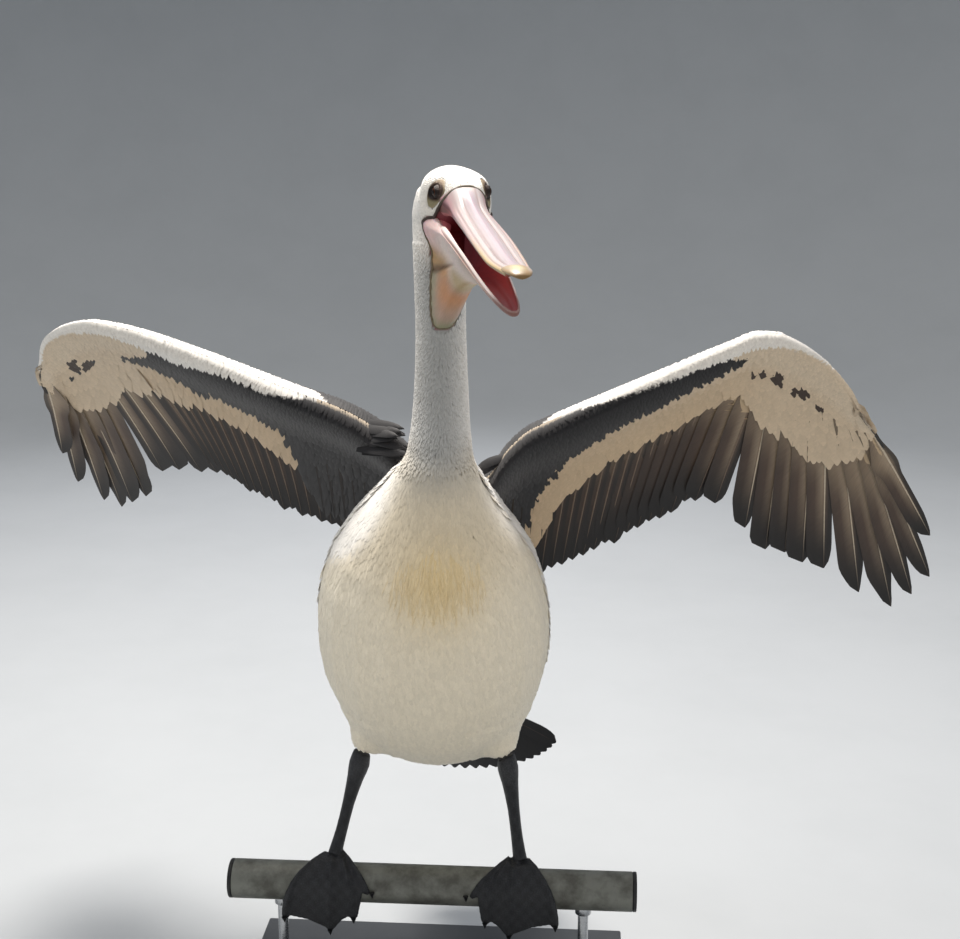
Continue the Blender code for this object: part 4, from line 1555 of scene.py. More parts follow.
@dataclass
class Pelt:
    """The one skin of body, neck, head, thighs and arms, and its plumage."""

    voxel: float = 0.0045
    smoothing: int = 14
    head_smoothing: int = 5
    thigh_smoothing: int = 70
    flesh: tuple[str, ...] = ("trunk", "neck", "head", "thigh_left", "thigh_right")
    points: Array = field(init=False)
    faces: Array = field(init=False)
    tree: BVHTree = field(init=False)
    normals: Array = field(init=False)

    def build_skin(self) -> None:
        """Fuse the flesh, smooth it and draw it in by the coat's depth."""
        bm = welded(*self.flesh)
        for wing in WINGS:
            arm = shaped_grid(
                (72, 40), lambda u, v, w=wing: w.place(u * w.last, 2 * v - 1, True),
                lambda u, v: linear(TINTS.white), weld=1e-5,
            )
            close_ends(arm)
            part = mesh_of(arm, "raw_arm")
            bm.from_mesh(part)
            bpy.data.meshes.remove(part)
        mesh, shapes = fused(
            bm, self.voxel, (self.head_smoothing, self.smoothing, self.thigh_smoothing)
        )
        head = ramp(shapes[1][:, 2], 1.19, 1.225)
        points = mix(shapes[1], shapes[0], head)
        points = mix(points, shapes[2], ramp(shapes[1][:, 2], 0.56, 0.49))
        normals = np.array([n.vector for n in mesh.vertex_normals])
        points -= normals * self.depth(points)[:, None]
        mesh.vertices.foreach_set("co", points.astype(np.float32).ravel())
        mesh.update()
        self.normals = np.array([n.vector for n in mesh.vertex_normals])
        for layer in list(mesh.attributes):
            if layer.name in ("Tint", "Vane"):
                mesh.attributes.remove(layer)
        set_attribute(mesh, "Tint", self.tint(points))
        middles = np.array([face.center[:] for face in mesh.polygons])
        bare = FACE.covers(middles).astype(np.int32)
        mesh.polygons.foreach_set("material_index", bare)
        mesh.shade_smooth()
        mesh.calc_loop_triangles()
        faces = np.empty(len(mesh.loop_triangles) * 3, np.int32)
        mesh.loop_triangles.foreach_get("vertices", faces)
        self.faces = faces.reshape(-1, 3)
        self.points = points
        self.tree = BVHTree.FromPolygons(points.tolist(), self.faces.tolist())
        hand_over("skin", mesh, [DOWN, BARE_SKIN], self.flesh)

    def depth(self, points: Array) -> Array:
        """Return the coat's depth at points of the flesh.

        Args:
            points: World points, n by three.

        Returns:
            Depths in metres.
        """
        share, _, far, _ = LINE.local(points)
        z = points[:, 2]
        trunk = ramp(share, 0.44, 0.54) * ramp(far, 1.25, 1.10)
        neck = ramp(z, 0.86, 0.90) * (far < 1.3)
        head = ramp(z, 1.215, 1.235)
        blend = ramp(z, 0.92, 0.80)
        depth = 0.0006 + (0.0032 + 0.0024 * blend) * np.maximum(trunk, neck)
        thigh = (np.abs(points[:, 0]) > 0.06) & (z < 0.47)
        depth = np.where(thigh, 0.004, depth)
        crown = ramp(HEAD.local(points)[:, 2], 0.020, 0.045)
        return depth * (1 - head) + (0.0018 + 0.0016 * crown) * head

    def tint(self, points: Array) -> Array:
        """Return the plumage colour at points of the skin.

        Args:
            points: World points, n by three.

        Returns:
            Linear colours.
        """
        colour = body_tint(points)
        _, _, far, _ = LINE.local(points)
        outside = (far > 1.24) & (points[:, 2] > 0.74) & (np.abs(points[:, 0]) > 0.05)
        # Black skin under the shoulders, greyed by a painted sheen.
        black = linear(TINTS.grey_sheen_black)
        inner = outside & (np.abs(points[:, 0]) < 0.215)
        # Skin beside the body under the wings: the coverts' tan, darker still, as painted shade.
        colour = np.where(outside[:, None], linear(TINTS.tan) * 0.9, colour)
        colour = np.where(inner[:, None], black, colour)
        colour = np.where(FACE.covers(points)[:, None], linear("#1f130e"), colour)
        gape = mix("#5e4436", "#8a3e46", ramp(HEAD.local(points)[:, 2], -0.018, -0.032))
        return np.where(FACE.covers(points, patch=False)[:, None], gape, colour)

    def scatter(
        self, keep: Array, spacing: Array, rng: np.random.Generator
    ) -> Array:
        """Return evenly strewn points on part of the skin.

        Args:
            keep: Whether each triangle of the skin is used.
            spacing: Distance between points wanted at each triangle.
            rng: Source of the strewing.

        Returns:
            The points.
        """
        faces = self.faces[keep]
        spacing = spacing[keep]
        a, b, c = (self.points[faces[:, i]] for i in range(3))
        area = 0.5 * np.linalg.norm(np.cross(b - a, c - a), axis=1)
        weight = area / spacing ** 2
        total = int(weight.sum() * 4)
        chosen = rng.choice(len(faces), total, p=weight / weight.sum())
        r, s = np.sqrt(rng.random(total)), rng.random(total)
        spots = (
            a[chosen] * (1 - r)[:, None] + b[chosen] * (r * (1 - s))[:, None]
            + c[chosen] * (r * s)[:, None]
        )
        tree = KDTree(total)
        for i, spot in enumerate(spots):
            tree.insert(spot, i)
        tree.balance()
        free = np.ones(total, bool)
        kept = []
        for i in range(total):
            if free[i]:
                kept.append(i)
                for _, j, _ in tree.find_range(spots[i], spacing[chosen[i]]):
                    free[j] = False
        return spots[kept]

    def snap(self, points: Array) -> Pair:
        """Return the nearest points of the skin and its smooth normals.

        Args:
            points: World points, n by three.

        Returns:
            Points and unit normals.
        """
        places, normals = np.empty_like(points), np.empty_like(points)
        for i, point in enumerate(points):
            place, _, face, _ = self.tree.find_nearest(point)
            places[i] = place
            corners = self.faces[face]
            gap = np.linalg.norm(self.points[corners] - np.array(place), axis=1)
            weight = 1 / (gap + 1e-4)
            normals[i] = weight @ self.normals[corners]
        return places, unit(normals)

    def flow(self, points: Array) -> Array:
        """Return the way the feathers lie at world points.

        Args:
            points: World points, n by three.

        Returns:
            Unit directions.
        """
        _, _, _, along = LINE.local(points)
        forward, _, up = HEAD.local(points).T
        ahead, _, above = HEAD.axes
        crown = ramp(points[:, 2], 1.195, 1.235) * ramp(forward, -0.095, -0.060)
        steep = 0.15 + 1.35 * ramp(up, 0.022, -0.010) * ramp(forward, -0.045, 0.0)
        steep = np.maximum(steep, 0.8 * ramp(up, 0.0, -0.04))
        back = unit(-ahead - above * steep[:, None])
        return unit(along * (1 - crown)[:, None] + back * crown[:, None])

    def march(
        self, roots: Array, lengths: Array, steps: int, spin: Array
    ) -> Pair:
        """Walk over the skin from each root along the lie of the feathers.

        Args:
            roots: The starting points.
            lengths: How far each goes.
            steps: Stations along each path.
            spin: Turn of each path away from the common lie, in radians.

        Returns:
            The stations and the normals there.
        """
        place, normal = self.snap(roots)
        places, normals = [place], [normal]
        for _ in range(steps - 1):
            way = self.flow(place)
            way = unit(way - normal * (way * normal).sum(axis=1, keepdims=True))
            side = np.cross(normal, way)
            way = way * np.cos(spin)[:, None] + side * np.sin(spin)[:, None]
            place, normal = self.snap(place + way * (lengths / (steps - 1))[:, None])
            places.append(place)
            normals.append(normal)
        return np.stack(places, axis=1), np.stack(normals, axis=1)

    def dress(
        self, name: str, keep: Gauge,
        size: Callable[[Array], Pair],
        spacing: float, depth: tuple[float, float], vane: Vane, spread: float = 0.12,
        tint: Gauge = body_tint, thick: float = 0.0007,
        low: Gauge = lambda p: np.ones(len(p)),
        roll: float = 0.08,
    ) -> None:
        """Cover part of the skin with one kind of feather.

        Args:
            name: The piece's name.
            keep: Tells which world points it covers.
            size: Gives lengths and full widths at world points.
            spacing: Distance between roots as a share of the feathers' width.
            depth: Height over the skin at the root and at the tip.
            vane: The feathers' outline.
            spread: How far in radians they stray from the common lie.
            tint: Gives colours at world points.
            thick: Thickness of each feather.
            low: Gives the share of the height over the skin at world points.
            roll: How far in radians they turn about their shafts.
        """
        rng = np.random.default_rng(SEED + len(name))
        middles = self.points[self.faces].mean(axis=1)
        wanted = keep(middles)
        _, widths = size(middles)
        roots = self.scatter(wanted, np.broadcast_to(widths * spacing, len(middles)), rng)
        roots = roots[keep(roots)]
        length, width = size(roots)
        count = len(roots)
        length = length * rng.uniform(0.85, 1.15, count)
        spin = rng.normal(0, spread, count)
        places, normals = self.march(roots, length, vane.steps, spin)
        for _ in range(3 if roots[:, 2].max() > 1.1 else 0):
            bare = FACE.covers(places[:, -1], 0.0008) | FACE.covers(places[:, 2], 0.0008)
            over = np.flatnonzero(bare)
            length[over] *= 0.55
            again = self.march(roots[over], length[over], vane.steps, spin[over])
            places[over], normals[over] = again
        t = vane.stations[None]
        lift = depth[0] + (depth[1] - depth[0]) * t ** 0.8
        lift = lift * rng.uniform(0.95, 1.05, (count, 1)) * low(roots)[:, None]
        centre = places + normals * lift[..., None]
        half = vane.outline()[None] * (width / 2 * rng.uniform(0.9, 1.1, count))[:, None]
        colour = tint(places[:, -1]) * rng.uniform(0.93, 1.03, (count, 1))
        share, turn, _, _ = LINE.local(roots)
        spot = pairs(0.01 + 0.97 * turn, 0.01 + 0.97 * share)
        coat = Coat(name, SOFT_FEATHER, "feather_white")
        coat.add(
            centre, normals, (half, half), thick, colour[:, None, None, :], spot, vane,
            roll=rng.normal(0, roll, count),
        )
        coat.finish_piece()

    def build_plumage(self) -> None:
        """Lay the feathers of head, neck, breast, back and thighs."""

        def flesh(points: Array) -> Array:
            """Tell which points belong to the body and not to a wing.

            Args:
                points: World points, n by three.

            Returns:
                True for each point of the body.
            """
            _, _, far, _ = LINE.local(points)
            head = points[:, 2] > 1.20
            ahead = head & (HEAD.local(points)[:, 0] > 0.06)
            return ((far < 1.10) | head) & ~FACE.covers(points, 0.0010) & ~ahead

        def is_thigh(points: Array) -> Array:
            """Tell which points belong to a thigh."""
            _, _, far, _ = LINE.local(points)
            return (far > 1.02) & (points[:, 2] < 0.475) & (np.abs(points[:, 0]) > 0.05)

        def sizes(points: Array) -> Pair:
            """Return feather lengths and widths, which grow down the body.

            Args:
                points: World points, n by three.

            Returns:
                Lengths and widths.
            """
            z, y = points[:, 2], points[:, 1]
            down = ramp(z, 1.22, 1.02) * 0.12 + ramp(z, 0.93, 0.78) * 0.88
            face = ramp(HEAD.local(points)[:, 0], -0.06, 0.005) * ramp(z, 1.19, 1.22)
            back = ramp(y, 0.06, 0.16) * ramp(z, 0.90, 0.84)
            length = 0.0085 + 0.0165 * down - 0.0042 * face + 0.013 * back
            width = 0.0032 + 0.0068 * down - 0.0012 * face + 0.006 * back
            return length, width

        def nearness(points: Array) -> Array:
            """Return the share of their height that the face's feathers keep."""
            return 1 - 0.45 * ramp(HEAD.local(points)[:, 0], -0.03, 0.01)

        def band(low: float, high: float) -> Gauge:
            """Return the test for flesh between two heights."""
            return lambda p: flesh(p) & (p[:, 2] >= low) & (p[:, 2] < high) & ~is_thigh(p)

        self.dress(
            "head_feathers", band(1.195, 1.40), sizes, 0.62, (0.0004, 0.0015), TUFT,
            low=nearness, roll=0.05,
        )
        self.dress(
            "neck_feathers_upper", band(1.06, 1.195), sizes, 0.56, (0.0008, 0.0026), LANCE,
            0.10, roll=0.05,
        )
        self.dress(
            "neck_feathers_lower", band(0.87, 1.06), sizes, 0.56, (0.0008, 0.0030), LANCE,
            0.10, roll=0.03, low=lambda p: 1 + 0.4 * ramp(p[:, 2], 0.95, 0.87),
        )
        self.dress(
            "breast_feathers", lambda p: band(0.30, 0.87)(p) & (p[:, 1] < mid_depth(p)),
            sizes, 0.42, (0.0036, 0.0052), TUFT, 0.09, roll=0.02,
            low=lambda p: 1 - 0.40 * ramp(p[:, 2], 0.78, 0.87),
        )
        self.dress(
            "back_feathers", lambda p: band(0.30, 0.87)(p) & (p[:, 1] >= mid_depth(p)),
            sizes, 0.50, (0.0034, 0.0078), ROUND_TUFT,
        )
        self.dress(
            "thigh_feathers", is_thigh,
            lambda p: (np.full(len(p), 0.014), np.full(len(p), 0.0050)),
            0.50, (0.0008, 0.0030), TUFT,
        )

        def plume_spot(points: Array) -> Array:
            """Tell which points bear the long yellow breast plumes."""
            x, y, z = points.T
            return (np.hypot((x - 0.020) / 0.060, (z - 0.736) / 0.034) < 1) & (y < 0.0)

        self.dress(
            "breast_plumes", plume_spot,
            lambda p: (np.full(len(p), 0.048), np.full(len(p), 0.0040)),
            1.10, (0.0042, 0.0058), LANCE, 0.12,
            lambda p: mix(body_tint(p), "#d9bd80", np.full(len(p), 0.30)), 0.0005,
            roll=0.02,
        )


def mid_depth(points: Array) -> Array:
    """Return the y of the body's middle at the height of each point.

    Args:
        points: World points, n by three.

    Returns:
        A y for each point.
    """
    centres = LINE.table()[0]
    order = np.argsort(centres[:, 2])
    return np.interp(points[:, 2], centres[order, 2], centres[order, 1])


@dataclass
class Shoulders:
    """The long black scapulars over the wings' roots, and their loose ends."""

    # each fan's side, the ends of its line of roots, and the way it points there
    fans: tuple[tuple[Side, Point, Point, Point, Point], ...] = (
        (
            Side.LEFT, (0.036, 0.094, 0.832), (0.116, 0.126, 0.815),
            (-0.10, 0.55, -0.83), (0.12, 0.48, -0.87),
        ),
        (
            Side.RIGHT, (-0.098, 0.137, 0.828), (-0.014, 0.096, 0.838),
            (-0.16, 0.48, -0.87), (0.10, 0.55, -0.83),
        ),
    )
    reach: float = 0.168
    camber: float = 0.036
    crescent: float = 0.034
    # roots and tips of the feathers that stand up beside the neck
    loose: tuple[tuple[Point, Point], ...] = (
        ((-0.112, 0.046, 0.914), (-0.040, 0.022, 0.917)),
        ((-0.110, 0.044, 0.906), (-0.046, 0.022, 0.908)),
        ((-0.100, 0.044, 0.898), (-0.032, 0.018, 0.889)),
        ((-0.098, 0.040, 0.890), (-0.034, 0.012, 0.880)),
        ((0.112, 0.046, 0.868), (0.072, 0.030, 0.848)),
    )

    def build(self) -> None:
        """Lay both fans and the loose feathers."""
        widths = ((0, 0.5), (0.25, 0.9), (0.55, 1.0), (0.8, 0.8), (0.93, 0.45), (1, 0.05))
        vane = Vane(9, widths, HEX_SECTION)
        t = vane.stations[None]
        for side, start, end, first, last in self.fans:
            rng = np.random.default_rng(SEED + 30 + side.value)
            coat = Coat(f"scapulars_{side.label}_feathers", COVERT_FEATHER, "feather_black")
            for layer, (count, size) in enumerate(((12, 1.0), (13, 0.82), (14, 0.62), (15, 0.42))):
                f = ((np.arange(count) + rng.uniform(0.35, 0.65, count)) / count)[:, None]
                lead = np.array(start) * (1 - f) + np.array(end) * f
                ray = unit(np.array(first) * (1 - f) + np.array(last) * f)
                arch = np.sin(np.pi * f)
                lead = lead + ray * self.crescent * (1 - arch)
                length = self.reach * size * (0.62 + 0.38 * arch) * rng.uniform(0.88, 1.0, (count, 1))
                s = t * size
                away = unit(np.array([0.0, 1.0, 0.0]) - ray * ray[:, 1:2])[:, None]
                half = 0.012 * bell(s, 0.16, 0.26)
                bow = self.camber * self.reach * 4 * s * (1 - s) + half
                bow = bow * (0.30 + 0.70 * np.sqrt(arch)) - 0.0045 + 0.0030 * t + 0.0010 * layer
                centre = lead[:, None] + ray[:, None] * (length * t)[..., None] + away * bow[..., None]
                tint = linear(TINTS.black) * rng.uniform(0.8, 1.25, (count, 1))
                wide = vane.outline()[None] * rng.uniform(0.0095, 0.0125, (count, 1))
                place = pairs(0.02 + 0.9 * f[:, 0], 0.1 + 0.2 * layer)
                coat.add(
                    centre, away + 0 * centre, (wide, wide), 0.0010, tint[:, None, None, :],
                    place, vane, roll=math.radians(5) * side.value,
                )
            coat.finish_piece((f"scapulars_{side.label}",))
        coat = Coat("shoulder_loose_feathers", COVERT_FEATHER, "feather_black")
        roots, tips = (np.array(ends) for ends in zip(*self.loose))
        rng = np.random.default_rng(SEED + 60)
        copies = 4
        roots = np.repeat(roots, copies, axis=0) + rng.normal(0, 0.006, (len(roots) * copies, 3))
        tips = np.repeat(tips, copies, axis=0) + rng.normal(0, 0.004, (len(tips) * copies, 3))
        centre = roots[:, None] * (1 - t[..., None]) + tips[:, None] * t[..., None]
        out = np.broadcast_to(np.array([0.0, -0.8, 0.6]), centre.shape)
        centre = centre + out * (0.006 * 4 * t * (1 - t))[..., None]
        wide = vane.outline()[None] * 0.0075 * np.ones((len(roots), 1))
        tint = np.broadcast_to(linear(TINTS.black), (len(roots), 3))
        place = pairs(np.linspace(0.02, 0.9, len(roots)), 0.5)
        coat.add(centre, out, (wide, wide), 0.0010, tint[:, None, None, :], place, vane)
        coat.finish_piece()


@dataclass
class Tail:
    """The short black tail fan with white coverts at its root."""

    root: Point = (0.022, 0.232, 0.402)
    root_spread: float = 0.034
    slope: float = math.radians(56.0)
    centre: float = math.radians(9.0)
    spread: float = math.radians(42.0)
    length: float = 0.200
    feathers: int = 20
    camber: float = 0.045

    def fan(
        self, count: int, share: float, steps: Array
    ) -> tuple[Array, Array, Array]:
        """Return a fan's stations, its upper side's direction and its places.

        Args:
            count: Number of feathers.
            share: Their length as a share of the tail's.
            steps: Shares of their length.

        Returns:
            The stations, the directions and places across the fan.
        """
        t = np.linspace(-1, 1, count)
        down = np.array([0.0, math.cos(self.slope), -math.sin(self.slope)])
        turn = self.centre + self.spread * t
        ray = down * np.cos(turn)[:, None] + np.array([1.0, 0, 0]) * np.sin(turn)[:, None]
        lead = np.array(self.root) + np.array([self.root_spread, 0, 0]) * t[:, None]
        reach = self.length * share * (1 - 0.17 * t * t)
        up = unit(np.array([0.0, 1.0, 0.0]) - ray * ray[:, 1:2])
        s = steps[None] * share
        bow = self.camber * self.length * 4 * s * (1 - s)
        centre = lead[:, None] + ray[:, None] * (reach[:, None] * steps)[..., None]
        return centre + up[:, None] * bow[..., None], up[:, None] + 0 * centre, t

    def build(self) -> None:
        """Lay the tail feathers and the coverts over and under their roots."""
        coat = Coat("tail_feathers", FLIGHT_FEATHER, "feather_black")
        vane = Vane(18, (
            (0, 0.35), (0.2, 0.6), (0.5, 0.85), (0.8, 1.0), (0.92, 0.86), (0.98, 0.5), (1, 0.12),
        ), FLAT_SECTION, cup=0.05)
        centre, up, t = self.fan(self.feathers, 1.0, vane.stations)
        half = vane.outline()[None] * 0.0145 * np.ones((len(t), 1))
        order = np.abs(t)[:, None]
        centre = centre + up * (0.0022 * (1 - order) * np.ones_like(half))[..., None]
        tint = linear(TINTS.upper_quill)
        place = pairs(0.02 + 0.9 * (t + 1) / 2, 0.05)
        patch = np.broadcast_to([[0.04, 0.6]], (len(t), 2))
        coat.add(
            centre, up, (half, half), 0.0010, tint, place, vane, patch,
            roll=np.radians(4.0) * np.sign(t),
        )
        shaft = Vane(18, ((0, 1), (1, 1)), HEX_SECTION)
        thin = (0.0004 + 0.0013 * (1 - shaft.stations[None]) ** 0.8) * np.ones((len(t), 1))
        coat.add(
            centre, up, (thin, thin), thin, linear(TINTS.shaft_dark), place + (0, 0.7),
            shaft, np.broadcast_to([[0.04, 0.2]], (len(t), 2)),
        )
        coat.finish_piece(("tail",))
        cover = Coat("tail_coverts", SOFT_FEATHER, "feather_white")
        small = Vane(8, ((0, 0.4), (0.3, 0.9), (0.6, 1.0), (0.85, 0.8), (0.95, 0.5), (1, 0.12)))
        for face in WingFace:
            for layer, share in enumerate((0.50, 0.38, 0.27, 0.17)):
                centre, up, t = self.fan(15 - layer, share, small.stations)
                lift = (0.0045 + 0.0022 * layer + 0.0030 * small.stations[None]) * -face.value
                centre = centre + up * (lift * np.ones((len(t), 1)))[..., None]
                half = small.outline()[None] * 0.0105 * np.ones((len(t), 1))
                shade = np.random.default_rng(SEED + layer).uniform(0.92, 1.02, (len(t), 1))
                colour = (linear(TINTS.white) * shade)[:, None, None, :]
                row = 0.1 + 0.1 * layer + 0.45 * (face is WingFace.UNDER)
                place = pairs(0.02 + 0.9 * (t + 1) / 2, row)
                cover.add(centre, up * -face.value, (half, half), 0.0008, colour, place, small)
        cover.finish_piece()


# --- Bare face, bill, pouch and eyes ---


@dataclass
class Bill:
    """The long upper bill, its hooked nail and the slim lower jaw.

    Upper and nail rows: distance forward, half width, height above and depth
    below the widest line, and the height of that line.
    """

    upper: Rows = (
        (-0.030, 0.0370, 0.0150, 0.0290, -0.0100), (0.000, 0.0350, 0.0215, 0.0250, -0.0100),
        (0.020, 0.0302, 0.0265, 0.0190, -0.0120), (0.036, 0.0264, 0.0285, 0.0130, -0.0135),
        (0.060, 0.0245, 0.0235, 0.0100, -0.0130), (0.100, 0.0243, 0.0165, 0.0085, -0.0125),
        (0.160, 0.0252, 0.0105, 0.0075, -0.0100), (0.240, 0.0258, 0.0080, 0.0065, -0.0085),
        (0.320, 0.0240, 0.0075, 0.0055, -0.0085), (0.360, 0.0208, 0.0070, 0.0050, -0.0062),
        (0.404, 0.0160, 0.0065, 0.0050, -0.0018),
    )
    nail: Rows = (
        (0.386, 0.0172, 0.0062, 0.0044, -0.0030), (0.398, 0.0166, 0.0064, 0.0044, -0.0012),
        (0.410, 0.0150, 0.0058, 0.0040, 0.0004), (0.419, 0.0122, 0.0044, 0.0036, 0.0008),
        (0.4255, 0.0080, 0.0026, 0.0030, 0.0004), (0.4285, 0.0008, 0.0006, 0.0010, -0.0012),
    )
    jaw_start: float = 0.022
    ramus: tuple[float, float] = (0.0030, 0.0095)

    def forward(self, u: Array) -> Array:
        """Return distances forward for shares along the upper bill."""
        return self.upper[0][0] + (self.upper[-1][0] - self.upper[0][0]) * u

    def size(self, forward: Array) -> list[Array]:
        """Return half width, height, depth and place of the widest line."""
        curve = smooth_rows(self.upper, 8)
        return [np.interp(forward, curve[:, 0], curve[:, i]) for i in (1, 2, 3, 4)]

    def upper_place(self, u: Array, v: Array) -> Array:
        """Return the upper bill's carved surface.

        Args:
            u: Shares along the bill.
            v: Shares round it.

        Returns:
            World points.
        """
        forward = self.forward(u)
        width, top, bottom, level = self.size(forward)
        turn = math.tau * v
        c, sin = np.cos(turn), np.sin(turn)
        grown = ramp(forward, 0.045, 0.10) * ramp(forward, 0.40, 0.35)
        power = 2.5 - 0.75 * ramp(forward, 0.036, 0.085)
        plain = np.clip(1 - np.abs(c) ** power, 0, 1) ** (1 / power)
        keel = bell(c, 0, 0.24)
        roof = top * (plain * (1 - 0.22 * grown) + 0.22 * grown * keel)
        roof -= 0.0016 * grown * bell(np.abs(c), 0.42, 0.075)
        roof -= 0.0009 * ramp(forward, 0.05, 0.12) * bell(np.abs(c), 0.80, 0.05)
        roof += 0.00022 * grown * np.cos(c * 34) * plain
        rim = np.clip(1 - np.abs(c) ** 7, 0, 1) ** 0.5
        vault = np.clip(1 - (c / 0.84) ** 2, 0, 1) ** 1.4
        floor = -bottom * (rim - 0.72 * vault * ramp(forward, -0.01, 0.05) + 0.18 * keel * grown)
        return HEAD.point(forward, width * c, np.where(sin > 0, roof, floor) + level)

    def upper_tint(self, u: Array, v: Array) -> Array:
        """Return the upper bill's colours.

        Args:
            u: Shares along the bill.
            v: Shares round it.

        Returns:
            Linear colours.
        """
        forward = self.forward(u)
        turn = math.tau * v
        c, sin = np.abs(np.cos(turn)), np.sin(turn)
        flush = ramp(forward, 0.13, 0.04) * ramp(sin, 0.62, 0.15)
        base = ramp(forward, 0.055, 0.038) * ramp(c, 0.5, 0.2)
        # Yellow along the cutting edges, weaker on the bird's left side: that difference is painted
        # light, where that edge catches the light.
        edge = ramp(forward, 0.18, 0.34) * ramp(c, 0.66, 0.97) * (1 - 0.6 * (np.cos(turn) > 0))
        colour = layered(
            "#aea5a5",
            ("#a696a1", bell(c, 0, 0.30) * 0.80),
            # darker along the two grooves: painted shade in them
            ("#8f7776", bell(c, 0.42, 0.055) * 0.60),
            ("#95797a", bell(c, 0.80, 0.05) * 0.45),
            ("#ab9493", ramp(c, 0.60, 0.90) * 0.65),
            ("#cf9fa4", flush * 0.85),
            ("#6d4247", flush * ramp(sin, 0.22, 0.02)),
            ("#cfc6ba", base * 0.6),
            ("#b9a678", edge * 0.80),
            ("#b5a580", ramp(forward, 0.372, 0.404) * 0.6),
        )
        roof = layered(
            "#b06a6c",
            ("#a84a44", ramp(forward, 0.05, 0.20)),
            ("#96473a", ramp(forward, 0.20, 0.40)),
        )
        skin = mix("#7d5450", roof, ramp(forward, 0.03, 0.07))
        under = (sin < 0) & (c < 0.93)
        colour = np.where((sin < -0.05)[:, None] & (forward < 0.07)[:, None], skin, colour)
        return np.where(under[:, None], roof, colour)

    def nail_place(self, u: Array, v: Array) -> Array:
        """Return the nail's surface.

        Args:
            u: Shares along the nail.
            v: Shares round it.

        Returns:
            World points.
        """
        curve = smooth_rows(self.nail, 6)
        place = u * (len(curve) - 1)
        row = [np.interp(place, np.arange(len(curve)), curve[:, i]) for i in range(5)]
        turn = math.tau * v
        up = np.where(np.sin(turn) > 0, row[2], row[3]) * np.sin(turn) + row[4]
        return HEAD.point(row[0], row[1] * np.cos(turn), up)

    def nail_tint(self, u: Array, v: Array) -> Array:
        """Return tan-brown round the nail's edge, with a painted highlight: cream on the top of its
        middle and pale grey on its left side.

        Args:
            u: Shares along the nail.
            v: Shares round it.

        Returns:
            Linear colours.
        """
        turn = math.tau * v
        across = (np.cos(turn) + 0.15) / 0.42
        # Cream on the top of the middle, and pale grey on the left side: a painted highlight.
        crown = np.exp(-((u - 0.30) / 0.26) ** 2 - across ** 2) * ramp(np.sin(turn), 0.1, 0.7)
        return layered(
            "#a08b70",
            ("#7e6540", ramp(u, 0.35, 0.95)),
            ("#ada39b", ramp(np.cos(turn), 0.45, 0.9) * ramp(u, 0.7, 0.3)),
            ("#ccc7a0", crown * 0.85),
        )

    def ramus_height(self, forward: Array) -> Array:
        """Return half the height of the jaw's side."""
        return self.ramus[1] * (1 - 0.65 * (forward / HEAD.jaw_length) ** 0.6)

    def jaw_forward(self, u: Array) -> Array:
        """Return distances forward for shares along the horseshoe."""
        run = HEAD.jaw_length - self.jaw_start
        return self.jaw_start + run * (1 - np.abs(2 * u - 1) ** 1.9)

    def jaw_place(self, u: Array, v: Array) -> Array:
        """Return the surface of the lower jaw's horseshoe.

        Args:
            u: Shares along the horseshoe.
            v: Shares round its branch.

        Returns:
            World points.
        """

        def path(share: Array) -> Pair:
            """Return forward and side for shares along the horseshoe."""
            forward = self.jaw_forward(share)
            return forward, np.sign(2 * share - 1) * HEAD.jaw_half(forward)

        forward, side = path(u)
        after, before = path(np.clip(u + 0.004, 0, 1)), path(np.clip(u - 0.004, 0, 1))
        ahead = [a - b for a, b in zip(after, before)]
        size = np.hypot(*ahead)
        out_f, out_s = ahead[1] / size, -ahead[0] / size
        turn = math.tau * v
        close = np.sqrt(np.clip(np.minimum(u, 1 - u) / 0.040, 0, 1))
        rear = ramp(forward, 0.18, 0.06) * close
        shift = self.ramus[0] * np.cos(turn) * close * (0.82 - 0.20 * ramp(forward, 0.34, 0.42))
        shift += rear * (0.0024 * np.cos(turn) - 0.0018)
        up = self.ramus_height(forward) * np.sin(turn) * close + 0.0020 * ramp(forward, 0.36, 0.20)
        up -= 0.0060 * ramp(forward, 0.092, 0.050)
        return HEAD.jaw(forward + out_f * shift, side + out_s * shift, up)

    def jaw_tint(self, u: Array, v: Array) -> Array:
        """Return the lower jaw's colours.

        Args:
            u: Shares along the horseshoe.
            v: Shares round its branch.

        Returns:
            Linear colours.
        """
        forward = self.jaw_forward(u)
        turn = math.tau * v
        low = mix("#d9bab5", "#a88a80", ramp(forward, 0.09, 0.17))
        colour = layered(
            low,
            ("#f2e6e0", ramp(np.sin(turn), 0.25, 0.70)),
            ("#74463f", ramp(forward, 0.35, 0.41) * 0.80),
        )
        inside = np.cos(turn) < 0.12
        lining = POUCH.lining_tint(forward)
        return np.where((inside & (np.sin(turn) < 0.93))[:, None], lining, colour)

    def build(self) -> None:
        """Make the upper bill, the nail and the lower jaw."""
        for name, node, slot, counts, place, tint in (
            ("horn", "bill_upper", "bill_horn", (170, 112), self.upper_place, self.upper_tint),
            ("hook", "bill_nail", "nail_horn", (36, 48), self.nail_place, self.nail_tint),
            ("jaw", "bill_lower", "bill_horn", (300, 28), self.jaw_place, self.jaw_tint),
        ):
            bm = shaped_grid(counts, place, tint)
            close_ends(bm)
            piece_from(f"{node}_{name}", bm, [BILL_HORN], (node,))


